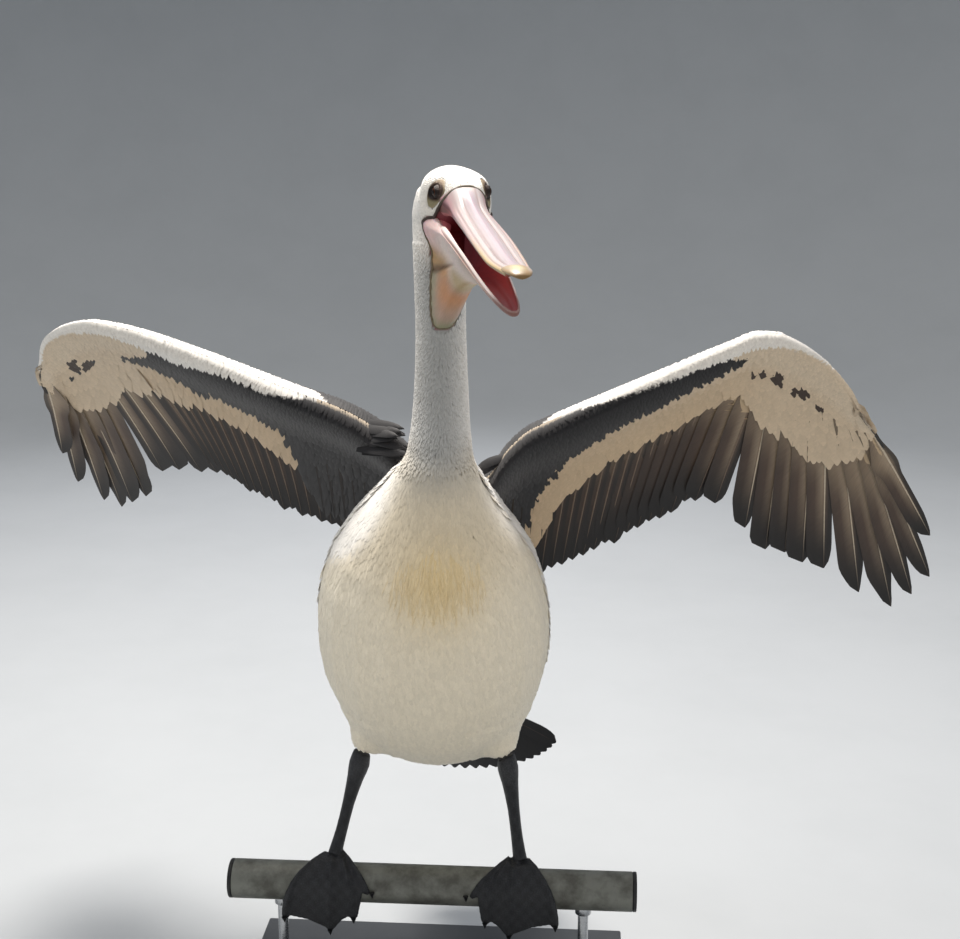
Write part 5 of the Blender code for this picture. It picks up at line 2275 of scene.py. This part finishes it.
@dataclass
class Pouch:
    """The throat pouch: thin skin slung from the jaw, with its wet lining.

    Rows: distance forward along the jaw, depth, and width as a share of the jaw's.
    """

    rows: Rows = (
        (-0.016, 0.108, 0.34), (0.004, 0.138, 0.74), (0.030, 0.153, 0.97),
        (0.062, 0.143, 1.00), (0.090, 0.108, 1.00), (0.117, 0.078, 1.00),
        (0.166, 0.050, 1.00), (0.246, 0.023, 1.00), (0.340, 0.011, 1.00),
        (0.415, 0.006, 1.00),
    )
    back: float = -0.016
    span: float = 0.431
    sway: float = 0.026
    deepest: float = 0.153
    wall: float = 0.0022
    lobe_at: float = 0.034
    lobe_reach: float = 0.041
    lobe_thick: float = 0.0225
    lobe_rise: float = 0.0120
    lip_thick: float = 0.0048
    lip_share: float = 0.84
    crease_at: tuple[float, float] = (0.045, 0.062)
    crease_slope: float = 0.36

    def profile(self, forward: Array) -> Pair:
        """Return the depth and the half width at distances forward.

        Args:
            forward: Distances forward of the hinge.

        Returns:
            Depths and half widths.
        """
        curve = smooth_rows(self.rows, 6)
        depth, share = (np.interp(forward, curve[:, 0], curve[:, i]) for i in (1, 2))
        return depth, HEAD.jaw_half(forward) * share

    def lobe(self, forward: Array) -> Array:
        """Return how near distances forward are to the gape's thick lobe, up to 1."""
        return np.exp(-(np.abs(forward - self.lobe_at) / self.lobe_reach) ** 2.4)

    def unfold(self, u: Array, v: Array) -> tuple[Array, ...]:
        """Return forward, the place across, and 1 where the wall faces inward.

        Args:
            u: Shares along the jaw.
            v: Shares out along the wall and back inside.

        Returns:
            The three arrays.
        """
        inside = v > 0.5
        across = np.where(inside, 3 - 4 * v, 4 * v - 1)
        return self.back + self.span * u ** 1.25, across, inside.astype(float)

    def crease(self, forward: Array, a: Array, drop: Array) -> Array:
        """Return the depth of the fold across the side, from 0 to 1.

        Args:
            forward: Distances forward of the hinge.
            a: Places across, from -1 to 1.
            drop: Distances below the jaw.

        Returns:
            Shares of the fold's full depth.
        """
        line = self.crease_at[1] - self.crease_slope * np.maximum(forward - self.crease_at[0], 0)
        near = ramp(forward, 0.165, 0.085) * ramp(forward, -0.02, 0.0)
        thick = 0.0050 - 0.0026 * ramp(forward, 0.05, 0.13)
        return near * bell(drop, line, thick) * (np.abs(a) > 0.05)

    def skin(self, forward: Array, a: Array, inner: Array) -> tuple[Array, ...]:
        """Return side, up and drop in the jaw's frame.

        Args:
            forward: Distances forward.
            a: From -1 at the right lip over the keel at 0 to 1 at the left lip.
            inner: 1 on the lining and 0 on the outside.

        Returns:
            The places and how far below the jaw they hang.
        """
        depth, width = self.profile(forward)
        t = np.clip(a / self.lip_share, -1, 1)
        turn = np.clip((np.abs(a) - self.lip_share) / (1 - self.lip_share), 0, 1) * math.pi / 2
        drop = depth * (1 - np.abs(t) ** 2.4)
        body = np.sin(np.pi * np.clip((forward - self.back) / 0.433, 0, 1)) ** 0.35
        near = self.lobe(forward)
        thick = self.lobe_thick * near * bell(drop, 0, 0.026)
        thick = (thick + self.lip_thick * bell(drop, 0, 0.012)) * body + self.wall * body
        bulge = 0.0064 * near * bell(drop, 0.008, 0.019)
        dip = 0.0022 * near * bell(drop, 0.042, 0.012)
        dip = dip + 0.0026 * self.crease(forward, a, drop)
        bulge += 0.0005 * np.sin(drop * 420) * near * (drop > 0.02)
        fat = np.exp(-((forward - 0.055) / 0.026) ** 2 - (drop / 0.020) ** 2)
        middle = width * np.abs(t) ** 0.75 - dip + bulge * (1 - inner) + 0.25 * thick * near
        middle -= 0.0035 * fat * np.sin(turn)
        half = 0.5 * thick * np.cos(turn) * np.abs(t) ** 0.5
        inside = half + 0.0065 * fat * np.cos(turn)
        side = np.sign(a) * (middle + np.where(inner > 0.5, -inside, half) - 0.35 * thick * near)
        rise = self.lobe_rise * near + 0.0015 * body
        up = rise * np.sin(turn) - drop + self.wall * body * inner * (1 - np.abs(t))
        sway = self.sway * (drop / self.deepest) ** 1.3
        return side - sway, up, drop

    def place(self, u: Array, v: Array) -> Array:
        """Return points round the wall, out along it and back inside.

        Args:
            u: Shares along the jaw.
            v: Shares out along the wall and back inside.

        Returns:
            World points.
        """
        forward, a, inner = self.unfold(u, v)
        side, up, _ = self.skin(forward, a, inner)
        return HEAD.jaw(forward, side, up)

    def lining_tint(self, forward: Array) -> Array:
        """Return the mouth lining's colours, pale pink at the gape and deeper red forward.

        Args:
            forward: Distances forward of the hinge.

        Returns:
            Linear colours.
        """
        return layered(
            "#c4757a",
            ("#b9504a", ramp(forward, 0.06, 0.15)),
            ("#a63c2e", ramp(forward, 0.15, 0.27)),
            ("#93494a", ramp(forward, 0.29, 0.42)),
        )

    def tint(self, u: Array, v: Array) -> Array:
        """Return the pouch's colours, outside and in.

        Args:
            u: Shares along the jaw.
            v: Shares out along the wall and back inside.

        Returns:
            Linear colours.
        """
        forward, a, inner = self.unfold(u, v)
        _, _, drop = self.skin(forward, a, np.zeros_like(a))
        light = mix("#d9b8b4", "#dccdc5", ramp(forward, 0.045, 0.10))
        warm = np.exp(-((forward - 0.102) / 0.030) ** 2 - ((drop - 0.080) / 0.030) ** 2)
        colour = layered(
            "#d39ca4",
            (light, ramp(forward + 0.6 * drop, 0.030, 0.060)),
            ("#dcc3c2", ramp(drop, 0.010, 0.0) * 0.6),
            ("#b8966c", ramp(drop, 0.016, 0.042) * ramp(forward, 0.15, 0.09)),
            ("#b09787", ramp(drop, 0.048, 0.066)),
            ("#c98b5a", 0.85 * warm),
            ("#b39c6c", ramp(forward, 0.115, 0.15) * ramp(drop, 0.02, 0.045) * 0.9),
            ("#a19a84", ramp(drop, 0.050, 0.070) * ramp(forward, 0.082, 0.052) * 0.95),
            ("#8d8f70", ramp(drop, 0.120, 0.146) * 0.9),
            # dark in the crease: painted shade in the fold
            ("#5a432c", 0.95 * self.crease(forward, a, drop) ** 0.8),
            ("#b7a494", ramp(forward, 0.15, 0.22) * ramp(drop, 0.03, 0.0) * 0.7),
            ("#8d6a5c", ramp(np.abs(a), 0.84, 0.90) * ramp(forward, 0.08, 0.13) * 0.7),
        )
        return np.where(inner[:, None] > 0, self.lining_tint(forward), colour)

    def holds(self, points: Array, grow: float = 0.0) -> Array:
        """Tell which world points lie in the pouch or between the jaws.

        Args:
            points: World points, n by three.
            grow: Distance by which the pouch is widened.

        Returns:
            True for each point inside.
        """
        forward, side, up = HEAD.jaw_local(points).T
        depth, width = self.profile(forward)
        near = self.lobe(forward)
        drop = np.clip(-up, 0, None)
        off = side + self.sway * (np.clip(drop, 0, self.deepest) / self.deepest) ** 1.3
        lobe = (0.0100 * near) * bell(drop, 0, 0.024)
        t = np.clip((np.abs(off) - lobe) / (width + grow), 0, 1) ** (1 / 0.75)
        deep = (depth + grow) * (1 - t ** 2.4)
        return (forward > self.back - grow) & (t < 1) & (drop < deep + 1e-4) & (up < 0.012)

    def build(self) -> None:
        """Make the pouch as one closed wall with its lining inside."""
        bm = shaped_grid((150, 220), self.place, self.tint)
        marks = bm.verts.layers.float_vector["Vane"]
        middle = max(v[marks].x for v in bm.verts) / 2
        for face in bm.faces:
            face.material_index = int(min(v[marks].x for v in face.verts) > middle * 0.995)
        close_ends(bm)
        piece_from("pouch_skin_wall", bm, [POUCH_SKIN, MOUTH_LINING], ("pouch",))


BILL = Bill()
POUCH = Pouch()


@dataclass
class BareFace:
    """Eyes in their bare patches, and the dark fold at the feathers' edge."""

    # forward and up on the drop-shaped outline of the patch, from its front
    patch: Rows = (
        (0.0215, 0.0040), (0.0150, 0.0115), (0.0050, 0.0170), (-0.0045, 0.0165),
        (-0.0095, 0.0080), (-0.0105, -0.0030), (-0.0098, -0.0135), (-0.0070, -0.0215),
        (-0.0010, -0.0235), (0.0065, -0.0165), (0.0150, -0.0060),
    )
    patch_middle: tuple[float, float] = (0.0030, -0.0030)
    opening: tuple[float, float] = (0.0080, 0.0074)
    # turn in degrees about the bill's base, and where the feathers end there
    border: Rows = (
        (-90, 0.004), (-34, 0.004), (-21, 0.0123), (0, 0.022), (18, 0.030),
        (38, 0.0335), (63, 0.0345), (90, 0.035),
    )
    border_axis: float = -0.006
    fold_radius: float = 0.0024

    def outline(self, turn: Array) -> Pair:
        """Return forward and up on the patch's outline at turns from its middle.

        Args:
            turn: Turns in radians.

        Returns:
            Distances forward and up.
        """
        ring = np.array(self.patch * 3)
        ring = smooth_rows(ring, 6)[len(self.patch) * 6:-len(self.patch) * 6]
        off = ring - np.array(self.patch_middle)
        angle = np.unwrap(np.arctan2(off[:, 1], off[:, 0]))
        far = np.hypot(off[:, 0], off[:, 1])
        order = np.argsort(angle % math.tau)
        reach = np.interp(
            turn % math.tau, (angle % math.tau)[order], far[order], period=math.tau
        )
        return (
            self.patch_middle[0] + reach * np.cos(turn),
            self.patch_middle[1] + reach * np.sin(turn),
        )

    def covers(self, points: Array, grow: float = 0.0, patch: bool = True) -> Array:
        """Tell which world points bear no feathers.

        Args:
            points: World points.
            grow: Distance by which the bare places are widened.
            patch: Whether the skin round the eyes counts.

        Returns:
            True where a point is bare.
        """
        forward, side, up = HEAD.local(points).T
        turn = np.degrees(np.arctan2(up - self.border_axis, np.abs(side)))
        table = np.array(self.border)
        head = points[:, 2] > 1.19
        bare = head & (forward > np.interp(turn, table[:, 0], table[:, 1]) - grow) & (up > -0.045)
        bare |= POUCH.holds(points, 0.001 + grow)
        if not patch:
            return bare
        off_f, off_u = forward - self.patch_middle[0], up - self.patch_middle[1]
        edge_f, edge_u = self.outline(np.arctan2(off_u, off_f))
        reach = np.hypot(edge_f - self.patch_middle[0], edge_u - self.patch_middle[1])
        inside = np.hypot(off_f, off_u) < reach - 0.0008 + grow
        return bare | (inside & (np.abs(side) > 0.012) & head)

    def orbit(self, pelt: Pelt, side: Side) -> None:
        """Make the bare skin round one eye, with its lids.

        Args:
            pelt: The finished skin.
            side: The eye's side.
        """

        def place(u: Array, v: Array) -> Array:
            """Return the bare skin's points, from the lid's inner edge outward.

            Args:
                u: Shares round the eye.
                v: Shares outward from the lid.

            Returns:
                World points.
            """
            turn = math.tau * u
            far_f, far_u = self.outline(turn)
            near_f = self.opening[0] * np.cos(turn)
            near_u = self.opening[1] * np.sin(turn)
            v = np.clip((v - 0.12) / 0.88, -0.14, 1)
            share = np.clip(v, 0, 1)
            forward = near_f * (1 - share) + far_f * share
            up = near_u * (1 - share) + far_u * share
            lift = 0.0010 + 0.0009 * bell(share, 0.14, 0.09)
            lift += 0.0005 * bell(share, 0.42, 0.08)
            lift -= 0.0028 * ramp(share, 0.88, 1.0)
            shut = side.value * HEAD.axes[1]
            points = np.empty((len(u), 3))
            reach = np.hypot(forward, up)
            ball = HEAD.eye_side + np.sqrt(np.clip(0.0100 ** 2 - reach ** 2, 0, 1))
            for i, (f, h) in enumerate(zip(forward, up)):
                start = HEAD.point(f, side.value * CAST_FROM, h)
                hit = pelt.tree.ray_cast(start, -shut)[0]
                level = (np.array(hit) - HEAD.at) @ shut if hit else 0.03
                level += lift[i]
                lid = ball[i] + 0.0005
                close = math.exp(-(share[i] / 0.30) ** 2)
                level = level + max(lid - level, 0) * close
                if v[i] < 0:
                    level -= 0.0025 * (-v[i] / 0.14)
                points[i] = HEAD.point(f, side.value * level, h)
            return points

        def tint(u: Array, v: Array) -> Array:
            """Return near black round the eye, fading to olive below.

            Args:
                u: Shares round the eye.
                v: Shares outward from the lid.

            Returns:
                Linear colours.
            """
            turn = math.tau * u
            _, up = self.outline(turn)
            up = up * v
            colour = layered(
                "#3d2a1f",
                ("#8f8666", ramp(up, -0.005, -0.013)),
                ("#a5917c", ramp(up, 0.0065, 0.0140) * 0.9),
            )
            return layered(
                "#170d0a",
                (colour, ramp(v, 0.16, 0.36)),
                ("#a39678", ramp(v, 0.70, 1.0) * 0.75),
            )

        bm = shaped_grid((96, 32), place, tint)
        self.face_out(bm, side)
        piece_from(f"orbital_skin_{side.label}", bm, [BARE_SKIN])

    def face_out(self, bm: BMesh, side: Side) -> None:
        """Turn an open sheet's faces to the head's side.

        Args:
            bm: The sheet.
            side: The side that it faces.
        """
        bm.normal_update()
        way = Vector(side.value * HEAD.axes[1])
        if sum(f.normal.dot(way) * f.calc_area() for f in bm.faces) < 0:
            bmesh.ops.reverse_faces(bm, faces=bm.faces)

    def eye(self, side: Side) -> None:
        """Make one glass eye with its iris and pupil.

        Args:
            side: The eye's side.
        """
        bm = bmesh.new()
        bmesh.ops.create_uvsphere(bm, u_segments=48, v_segments=36, radius=HEAD.eye_radius)
        ahead, left, above = HEAD.axes
        gaze = Vector(unit(left * side.value + 0.35 * ahead + 0.05 * above))
        turn = Vector((0, 0, 1)).rotation_difference(gaze).to_matrix().to_4x4()
        centre = HEAD.point(0.0, side.value * HEAD.eye_side, 0.0)
        tints = bm.verts.layers.float_color.new("Tint")
        bulge = 0.0004
        for vert in bm.verts:
            angle = vert.co.angle(Vector((0, 0, 1)))
            vert.co.z += bulge * max(0.0, 1 - (angle / 0.8) ** 2)
            share = float(ramp(np.array(math.degrees(angle)), 18, 23))
            colour = layered(
                "#050303",
                ("#3e2010", np.array(share)),
                ("#120a08", np.array(float(angle > 0.80))),
            )
            vert[tints] = (*colour, 1.0)
        bmesh.ops.transform(bm, matrix=Matrix.Translation(centre) @ turn, verts=bm.verts)
        piece_from(
            f"glass_eye_{side.label}", bm, [EYE_GLASS], (f"eye_{side.label}",)
        )

    def emerging(self, pelt: Pelt, points: Array, clear: float) -> Array:
        """Return the first point of a line that stands clear of the skin.

        Args:
            pelt: The finished skin.
            points: Points of the line, from inside the skin outward.
            clear: The height over the skin that counts as clear.

        Returns:
            The point.
        """
        for point in points:
            spot, normal, _, _ = pelt.tree.find_nearest(point)
            if (Vector(point) - spot).dot(normal) > clear:
                return point
        return points[-1]

    def fold(self, pelt: Pelt) -> None:
        """Make the dark fold of skin where the feathers end.

        Args:
            pelt: The finished skin.
        """
        table = np.array(self.border)
        upper = []
        for degrees in np.linspace(-38, 218, 120):
            tilt = degrees if degrees < 90 else 180 - degrees
            forward = float(np.interp(tilt, table[:, 0], table[:, 1]))
            turn = math.radians(degrees)
            axis = HEAD.point(forward, 0.0, self.border_axis)
            far = HEAD.point(
                forward, CAST_FROM * math.cos(turn),
                self.border_axis + CAST_FROM * math.sin(turn),
            )
            hit = pelt.tree.ray_cast(far, unit(axis - far))[0]
            upper.append(np.array(hit if hit else far))
        reach = np.linspace(-0.0155, 0.12, 160)
        lower = []
        for a in np.linspace(-0.97, 0.97, 130):
            side, up, _ = POUCH.skin(reach, np.full(len(reach), a), np.zeros(len(reach)))
            lower.append(self.emerging(pelt, HEAD.jaw(reach, side, up), 0.0008))
        loop = np.array(upper + lower)
        step = np.linalg.norm(np.roll(loop, -1, axis=0) - loop, axis=1)
        run = np.concatenate([[0], np.cumsum(step)])
        spaced = np.linspace(0, run[-1], 421)[:-1]
        closed = np.concatenate([loop, loop[:1]])
        loop = np.stack([np.interp(spaced, run, closed[:, i]) for i in range(3)], axis=1)
        for _ in range(10):
            loop = eased(loop)
        loop, normals = pelt.snap(loop)
        for _ in range(6):
            normals = unit(np.roll(normals, 1, axis=0) + normals + np.roll(normals, -1, axis=0))
            loop = eased(loop)
        loop = loop + normals * self.fold_radius * 0.75
        along = unit(np.roll(loop, -1, axis=0) - np.roll(loop, 1, axis=0))
        side = unit(np.cross(along, normals))
        count = len(loop)

        def place(u: Array, v: Array) -> Array:
            """Return points round the fold.

            Args:
                u: Shares along the fold.
                v: Shares round it.

            Returns:
                World points.
            """
            i = np.round(u * count).astype(int) % count
            turn = (math.tau * v)[:, None]
            low = ramp(loop[i, 2], 1.225, 1.18)
            radius = (self.fold_radius * (1 - 0.30 * low) * (1 + 0.08 * np.sin(u * 300)))[:, None]
            return loop[i] + radius * (side[i] * np.cos(turn) + normals[i] * np.sin(turn))

        def tint(u: Array, v: Array) -> Array:
            """Return grey-brown over the bill, darker at the gape, olive below.

            Args:
                u: Shares along the fold.
                v: Shares round it.

            Returns:
                Linear colours.
            """
            i = np.round(u * count).astype(int) % count
            z = loop[i, 2]
            return layered(
                "#645c4e",
                ("#3c2f28", ramp(z, 1.262, 1.238)),
                ("#7d725c", ramp(z, 1.225, 1.18)),
            )

        bm = shaped_grid((count, 10), place, tint)
        close_ends(bm)
        piece_from("feather_edge_fold", bm, [BARE_SKIN])

    def build(self, pelt: Pelt) -> None:
        """Make the eyes, their bare patches and the fold.

        Args:
            pelt: The finished skin.
        """
        for side in Side:
            self.eye(side)
            self.orbit(pelt, side)
        self.fold(pelt)


FACE = BareFace()


# --- Legs, perch and stand ---


@dataclass
class Leg:
    """One bare shank and webbed foot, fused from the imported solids."""

    side: Side
    ankle_x: float
    foot_turn: float
    # toes from the outer one: reach outward and length over the rail
    toes: Rows = (
        (0.056, 0.100), (0.000, 0.119), (-0.029, 0.098), (-0.052, 0.054),
    )
    voxel: float = 0.0017
    smoothing: int = 6
    claw_length: float = 0.015
    sole_radius: float = 0.03196
    rail_height: float = 0.20

    def build(self) -> None:
        """Fuse leg and foot, round them and add the claws."""
        nodes = (f"leg_{self.side.label}", f"foot_{self.side.label}")
        mesh, (points,) = fused(welded(*nodes), self.voxel, (self.smoothing,))
        worn = np.sin(points[:, 0] * 310) * np.sin(points[:, 2] * 270) * 0.5 + 0.5
        joint = bell(points[:, 2], 0.378, 0.020)
        colour = layered(
            "#1d1e21",
            ("#34363a", 0.5 * worn),
            ("#45464a", 0.4 * joint),
        )
        set_attribute(mesh, "Tint", colour)
        mesh.shade_smooth()
        name = f"leg_and_foot_{self.side.label}"
        hand_over(name, mesh, [LEG_SCUTES], nodes)
        self.claws()

    def claws(self) -> None:
        """Make the four short claws, curved down over the rail."""
        bm = bmesh.new()
        tints = bm.verts.layers.float_color.new("Tint")
        for reach, length in self.toes:
            reach += self.foot_turn
            x = self.ankle_x + self.side.value * reach * 1.27
            quarter = self.sole_radius * math.pi / 2
            start = length - 0.006
            made = bmesh.ops.create_cone(
                bm, cap_ends=True, segments=16, radius1=0.0042, radius2=0.0004,
                depth=self.claw_length,
            )["verts"]
            for vert in made:
                share = (vert.co.z + self.claw_length / 2) / self.claw_length
                run = start + 0.011 * share
                far = self.sole_radius + (0.0045 - 0.0035 * share ** 2 + vert.co.y)
                turn = min(run, quarter) / self.sole_radius
                fall = max(run - quarter, 0)
                vert.co = (
                    x + vert.co.x, -far * math.sin(turn),
                    self.rail_height + far * math.cos(turn) - fall,
                )
        for vert in bm.verts:
            vert[tints] = (*linear("#141517"), 1.0)
        bmesh.ops.recalc_face_normals(bm, faces=bm.faces)
        piece_from(f"claws_{self.side.label}", bm, [CLAW_HORN])


def cylinder(
    bm: BMesh, sides: int, radius: float, length: float, place: Matrix
) -> list[bmesh.types.BMVert]:
    """Add a closed cylinder.

    Args:
        bm: The shape it joins.
        sides: Its number of sides.
        radius: Its radius.
        length: Its length.
        place: Its middle and the turn of its axis from Z.

    Returns:
        Its points.
    """
    return bmesh.ops.create_cone(
        bm, cap_ends=True, segments=sides, radius1=radius, radius2=radius, depth=length,
        matrix=place,
    )["verts"]


def round_over(
    bm: BMesh, edges: list[bmesh.types.BMEdge], least: float, width: float,
    segments: int,
) -> None:
    """Bevel the sharp ones of some edges round.

    Args:
        bm: The shape.
        edges: The edges to choose from.
        least: Angle in radians over which an edge is sharp.
        width: Width of the bevel.
        segments: Faces across it.
    """
    rims = [e for e in edges if e.calc_face_angle(0) > least]
    bmesh.ops.bevel(
        bm, geom=rims, offset=width, segments=segments, profile=0.5, affect="EDGES",
        material=-1,
    )


@dataclass
class Perch:
    """The cut length of galvanised rail and its end plugs."""

    radius: float = 0.03015
    height: float = 0.20
    length: float = 0.62
    cap_depth: float = 0.006

    def build(self) -> None:
        """Make the rail and both plugs."""
        turn = Matrix.Rotation(math.radians(90), 4, "Y")
        bm = bmesh.new()
        place = Matrix.Translation((0, 0, self.height)) @ turn
        cylinder(bm, 96, self.radius, self.length, place)
        round_over(bm, bm.edges, 1.0, 0.0012, 3)
        piece_from("perch_rail_tube", bm, [ZINC], ("perch_rail",))
        for side in Side:
            bm = bmesh.new()
            middle = side.value * (self.length / 2 + self.cap_depth / 2 + 0.0003)
            place = Matrix.Translation((middle, 0, self.height)) @ turn
            cylinder(bm, 64, self.radius, self.cap_depth, place)
            end = [f for f in bm.faces if len(f.verts) > 4 and f.normal.x * side.value > 0.9]
            bmesh.ops.inset_region(bm, faces=end, thickness=0.008, depth=0)
            bmesh.ops.inset_region(bm, faces=end, thickness=0.0015, depth=-0.0015)
            round_over(bm, bm.edges, 1.2, 0.0014, 3)
            name = f"perch_cap_{side.label}"
            piece_from(f"{name}_plug", bm, [PLUG], (name,))


@dataclass
class Stand:
    """The plain display stand: a painted board and two steel rods."""

    size: Point = (0.60, 0.38, 0.022)
    rod_radius: float = 0.008
    rod_x: float = 0.235
    rail_height: float = 0.20

    def build(self) -> None:
        """Make the board, the rods and their collars."""
        bm = bmesh.new()
        lift = Matrix.Translation((0, 0, self.size[2] / 2))
        bmesh.ops.create_cube(bm, size=1.0, matrix=lift @ Matrix.Diagonal((*self.size, 1.0)))
        round_over(bm, bm.edges, 1.0, 0.003, 4)
        piece_from("stand_board", bm, [BOARD_PAINT], ("stand_base",))
        for side in Side:
            bm = bmesh.new()
            bottom, top = self.size[2], self.rail_height - 0.0245
            parts = (
                (self.rod_radius, bottom, top), (0.016, bottom, bottom + 0.006),
                (0.0115, bottom + 0.006, bottom + 0.012), (0.0125, top - 0.014, top),
            )
            for radius, low, high in parts:
                place = Matrix.Translation((side.value * self.rod_x, 0, (low + high) / 2))
                part = cylinder(bm, 64, radius, high - low, place)
                edges = list(dict.fromkeys(e for v in part for e in v.link_edges))
                round_over(bm, edges, 1.0, 0.0008, 2)
            name = f"stand_rod_{side.label}"
            piece_from(f"{name}_turned", bm, [ROD_STEEL], (name,))


@dataclass
class Studio:
    """A pale round backdrop, soft lamps and the camera."""

    floor_radius: float = 4.5
    wall_radius: float = 7.0
    wall_height: float = 5.0
    camera_at: Point = (0.2222, -2.1049, 1.37)
    camera_yaw: float = math.radians(4.0)
    camera_drop: float = math.radians(13.4776)
    lens: float = 56.25

    def build(self) -> None:
        """Make the backdrop, the lamps, the sky and the camera."""
        bm = bmesh.new()
        profile = [bm.verts.new((0.001, 0, 0)), bm.verts.new((self.floor_radius, 0, 0))]
        bend = self.wall_radius - self.floor_radius
        for step in range(1, 13):
            turn = math.radians(90) * step / 12
            x = self.floor_radius + bend * math.sin(turn)
            profile.append(bm.verts.new((x, 0, bend * (1 - math.cos(turn)))))
        profile.append(bm.verts.new((self.wall_radius, 0, self.wall_height)))
        edges = [bm.edges.new(pair) for pair in zip(profile, profile[1:])]
        bmesh.ops.spin(
            bm, geom=profile + edges, axis=(0, 0, 1), cent=(0, 0, 0), steps=96,
            angle=math.tau, use_merge=True,
        )
        bmesh.ops.remove_doubles(bm, verts=bm.verts, dist=0.002)
        bmesh.ops.recalc_face_normals(bm, faces=bm.faces)
        if bm.faces[0].normal.z < 0:
            bmesh.ops.reverse_faces(bm, faces=bm.faces)
        mesh = mesh_of(bm, "studio_backdrop")
        mesh.shade_smooth()
        mesh.materials.append(FLOOR_PAPER.make())
        new_object("studio_backdrop", mesh)
        self.lamp("key", (-0.45, 0.85, 3.9), 190.0, 1.1, "#fff8f0")
        for name, at, power, size, colour in (
            ("front_fill", (0.7, -3.3, 2.4), 32.0, 2.2, "#fff0dc"),
            ("left_fill", (-3.3, -0.3, 3.0), 34.0, 1.8, "#ffffff"),
            ("right_fill", (3.2, 0.2, 3.0), 30.0, 2.0, "#f8f8ff"),
            ("back_fill", (-0.6, 3.6, 2.4), 30.0, 2.4, "#f4f6ff"),
        ):
            self.lamp(name, at, power, size, colour).visible_glossy = False
        world = bpy.data.worlds.new("studio_air")
        world.use_nodes = True
        sky = world.node_tree.nodes["Background"]
        sky.inputs["Color"].default_value = (*linear("#e6eaf0"), 1.0)
        sky.inputs["Strength"].default_value = 0.44
        bpy.context.scene.world = world
        bpy.context.scene.view_settings.view_transform = "Standard"
        self.camera()

    def lamp(
        self, name: str, at: Point, power: float, size: float, colour: str
    ) -> bpy.types.Object:
        """Hang one square soft lamp that points at the bird.

        Args:
            name: The lamp's name.
            at: Its place.
            power: Its power in watts.
            size: The length of its side.
            colour: Its colour, as sRGB hex.

        Returns:
            The lamp.
        """
        light = bpy.data.lights.new(name, "AREA")
        light.energy = power
        light.size = size
        light.color = linear(colour)
        lamp = new_object(name, light)
        lamp.location = at
        aim = Vector((0, 0, 0.85)) - Vector(at)
        lamp.rotation_euler = aim.to_track_quat("-Z", "Y").to_euler()
        return lamp

    def camera(self) -> None:
        """Place the camera and give it the scene."""
        data = bpy.data.cameras.new("camera")
        data.lens = self.lens
        data.sensor_width = 36.0
        view = new_object("camera", data)
        cos, sin = math.cos(self.camera_drop), math.sin(self.camera_drop)
        ahead = Vector((
            -math.sin(self.camera_yaw) * cos, math.cos(self.camera_yaw) * cos, -sin
        ))
        right = Vector((math.cos(self.camera_yaw), math.sin(self.camera_yaw), 0))
        up = right.cross(ahead)
        turn = Matrix((right, up, -ahead)).transposed().to_4x4()
        view.matrix_world = Matrix.Translation(self.camera_at) @ turn
        bpy.context.scene.camera = view


def main() -> None:
    """Build and dress every sub-assembly in order."""
    logging.basicConfig(level=logging.INFO, format="%(message)s")
    pelt = Pelt()
    pelt.build_skin()
    pelt.build_plumage()
    for wing in WINGS:
        wing.build_coverts()
        wing.build_quills()
    Shoulders().build()
    Tail().build()
    BILL.build()
    POUCH.build()
    FACE.build(pelt)
    Leg(Side.LEFT, 0.137, -0.012).build()
    Leg(Side.RIGHT, -0.151, 0.003).build()
    Perch().build()
    Stand().build()
    Studio().build()


if __name__ == "__main__":
    main()
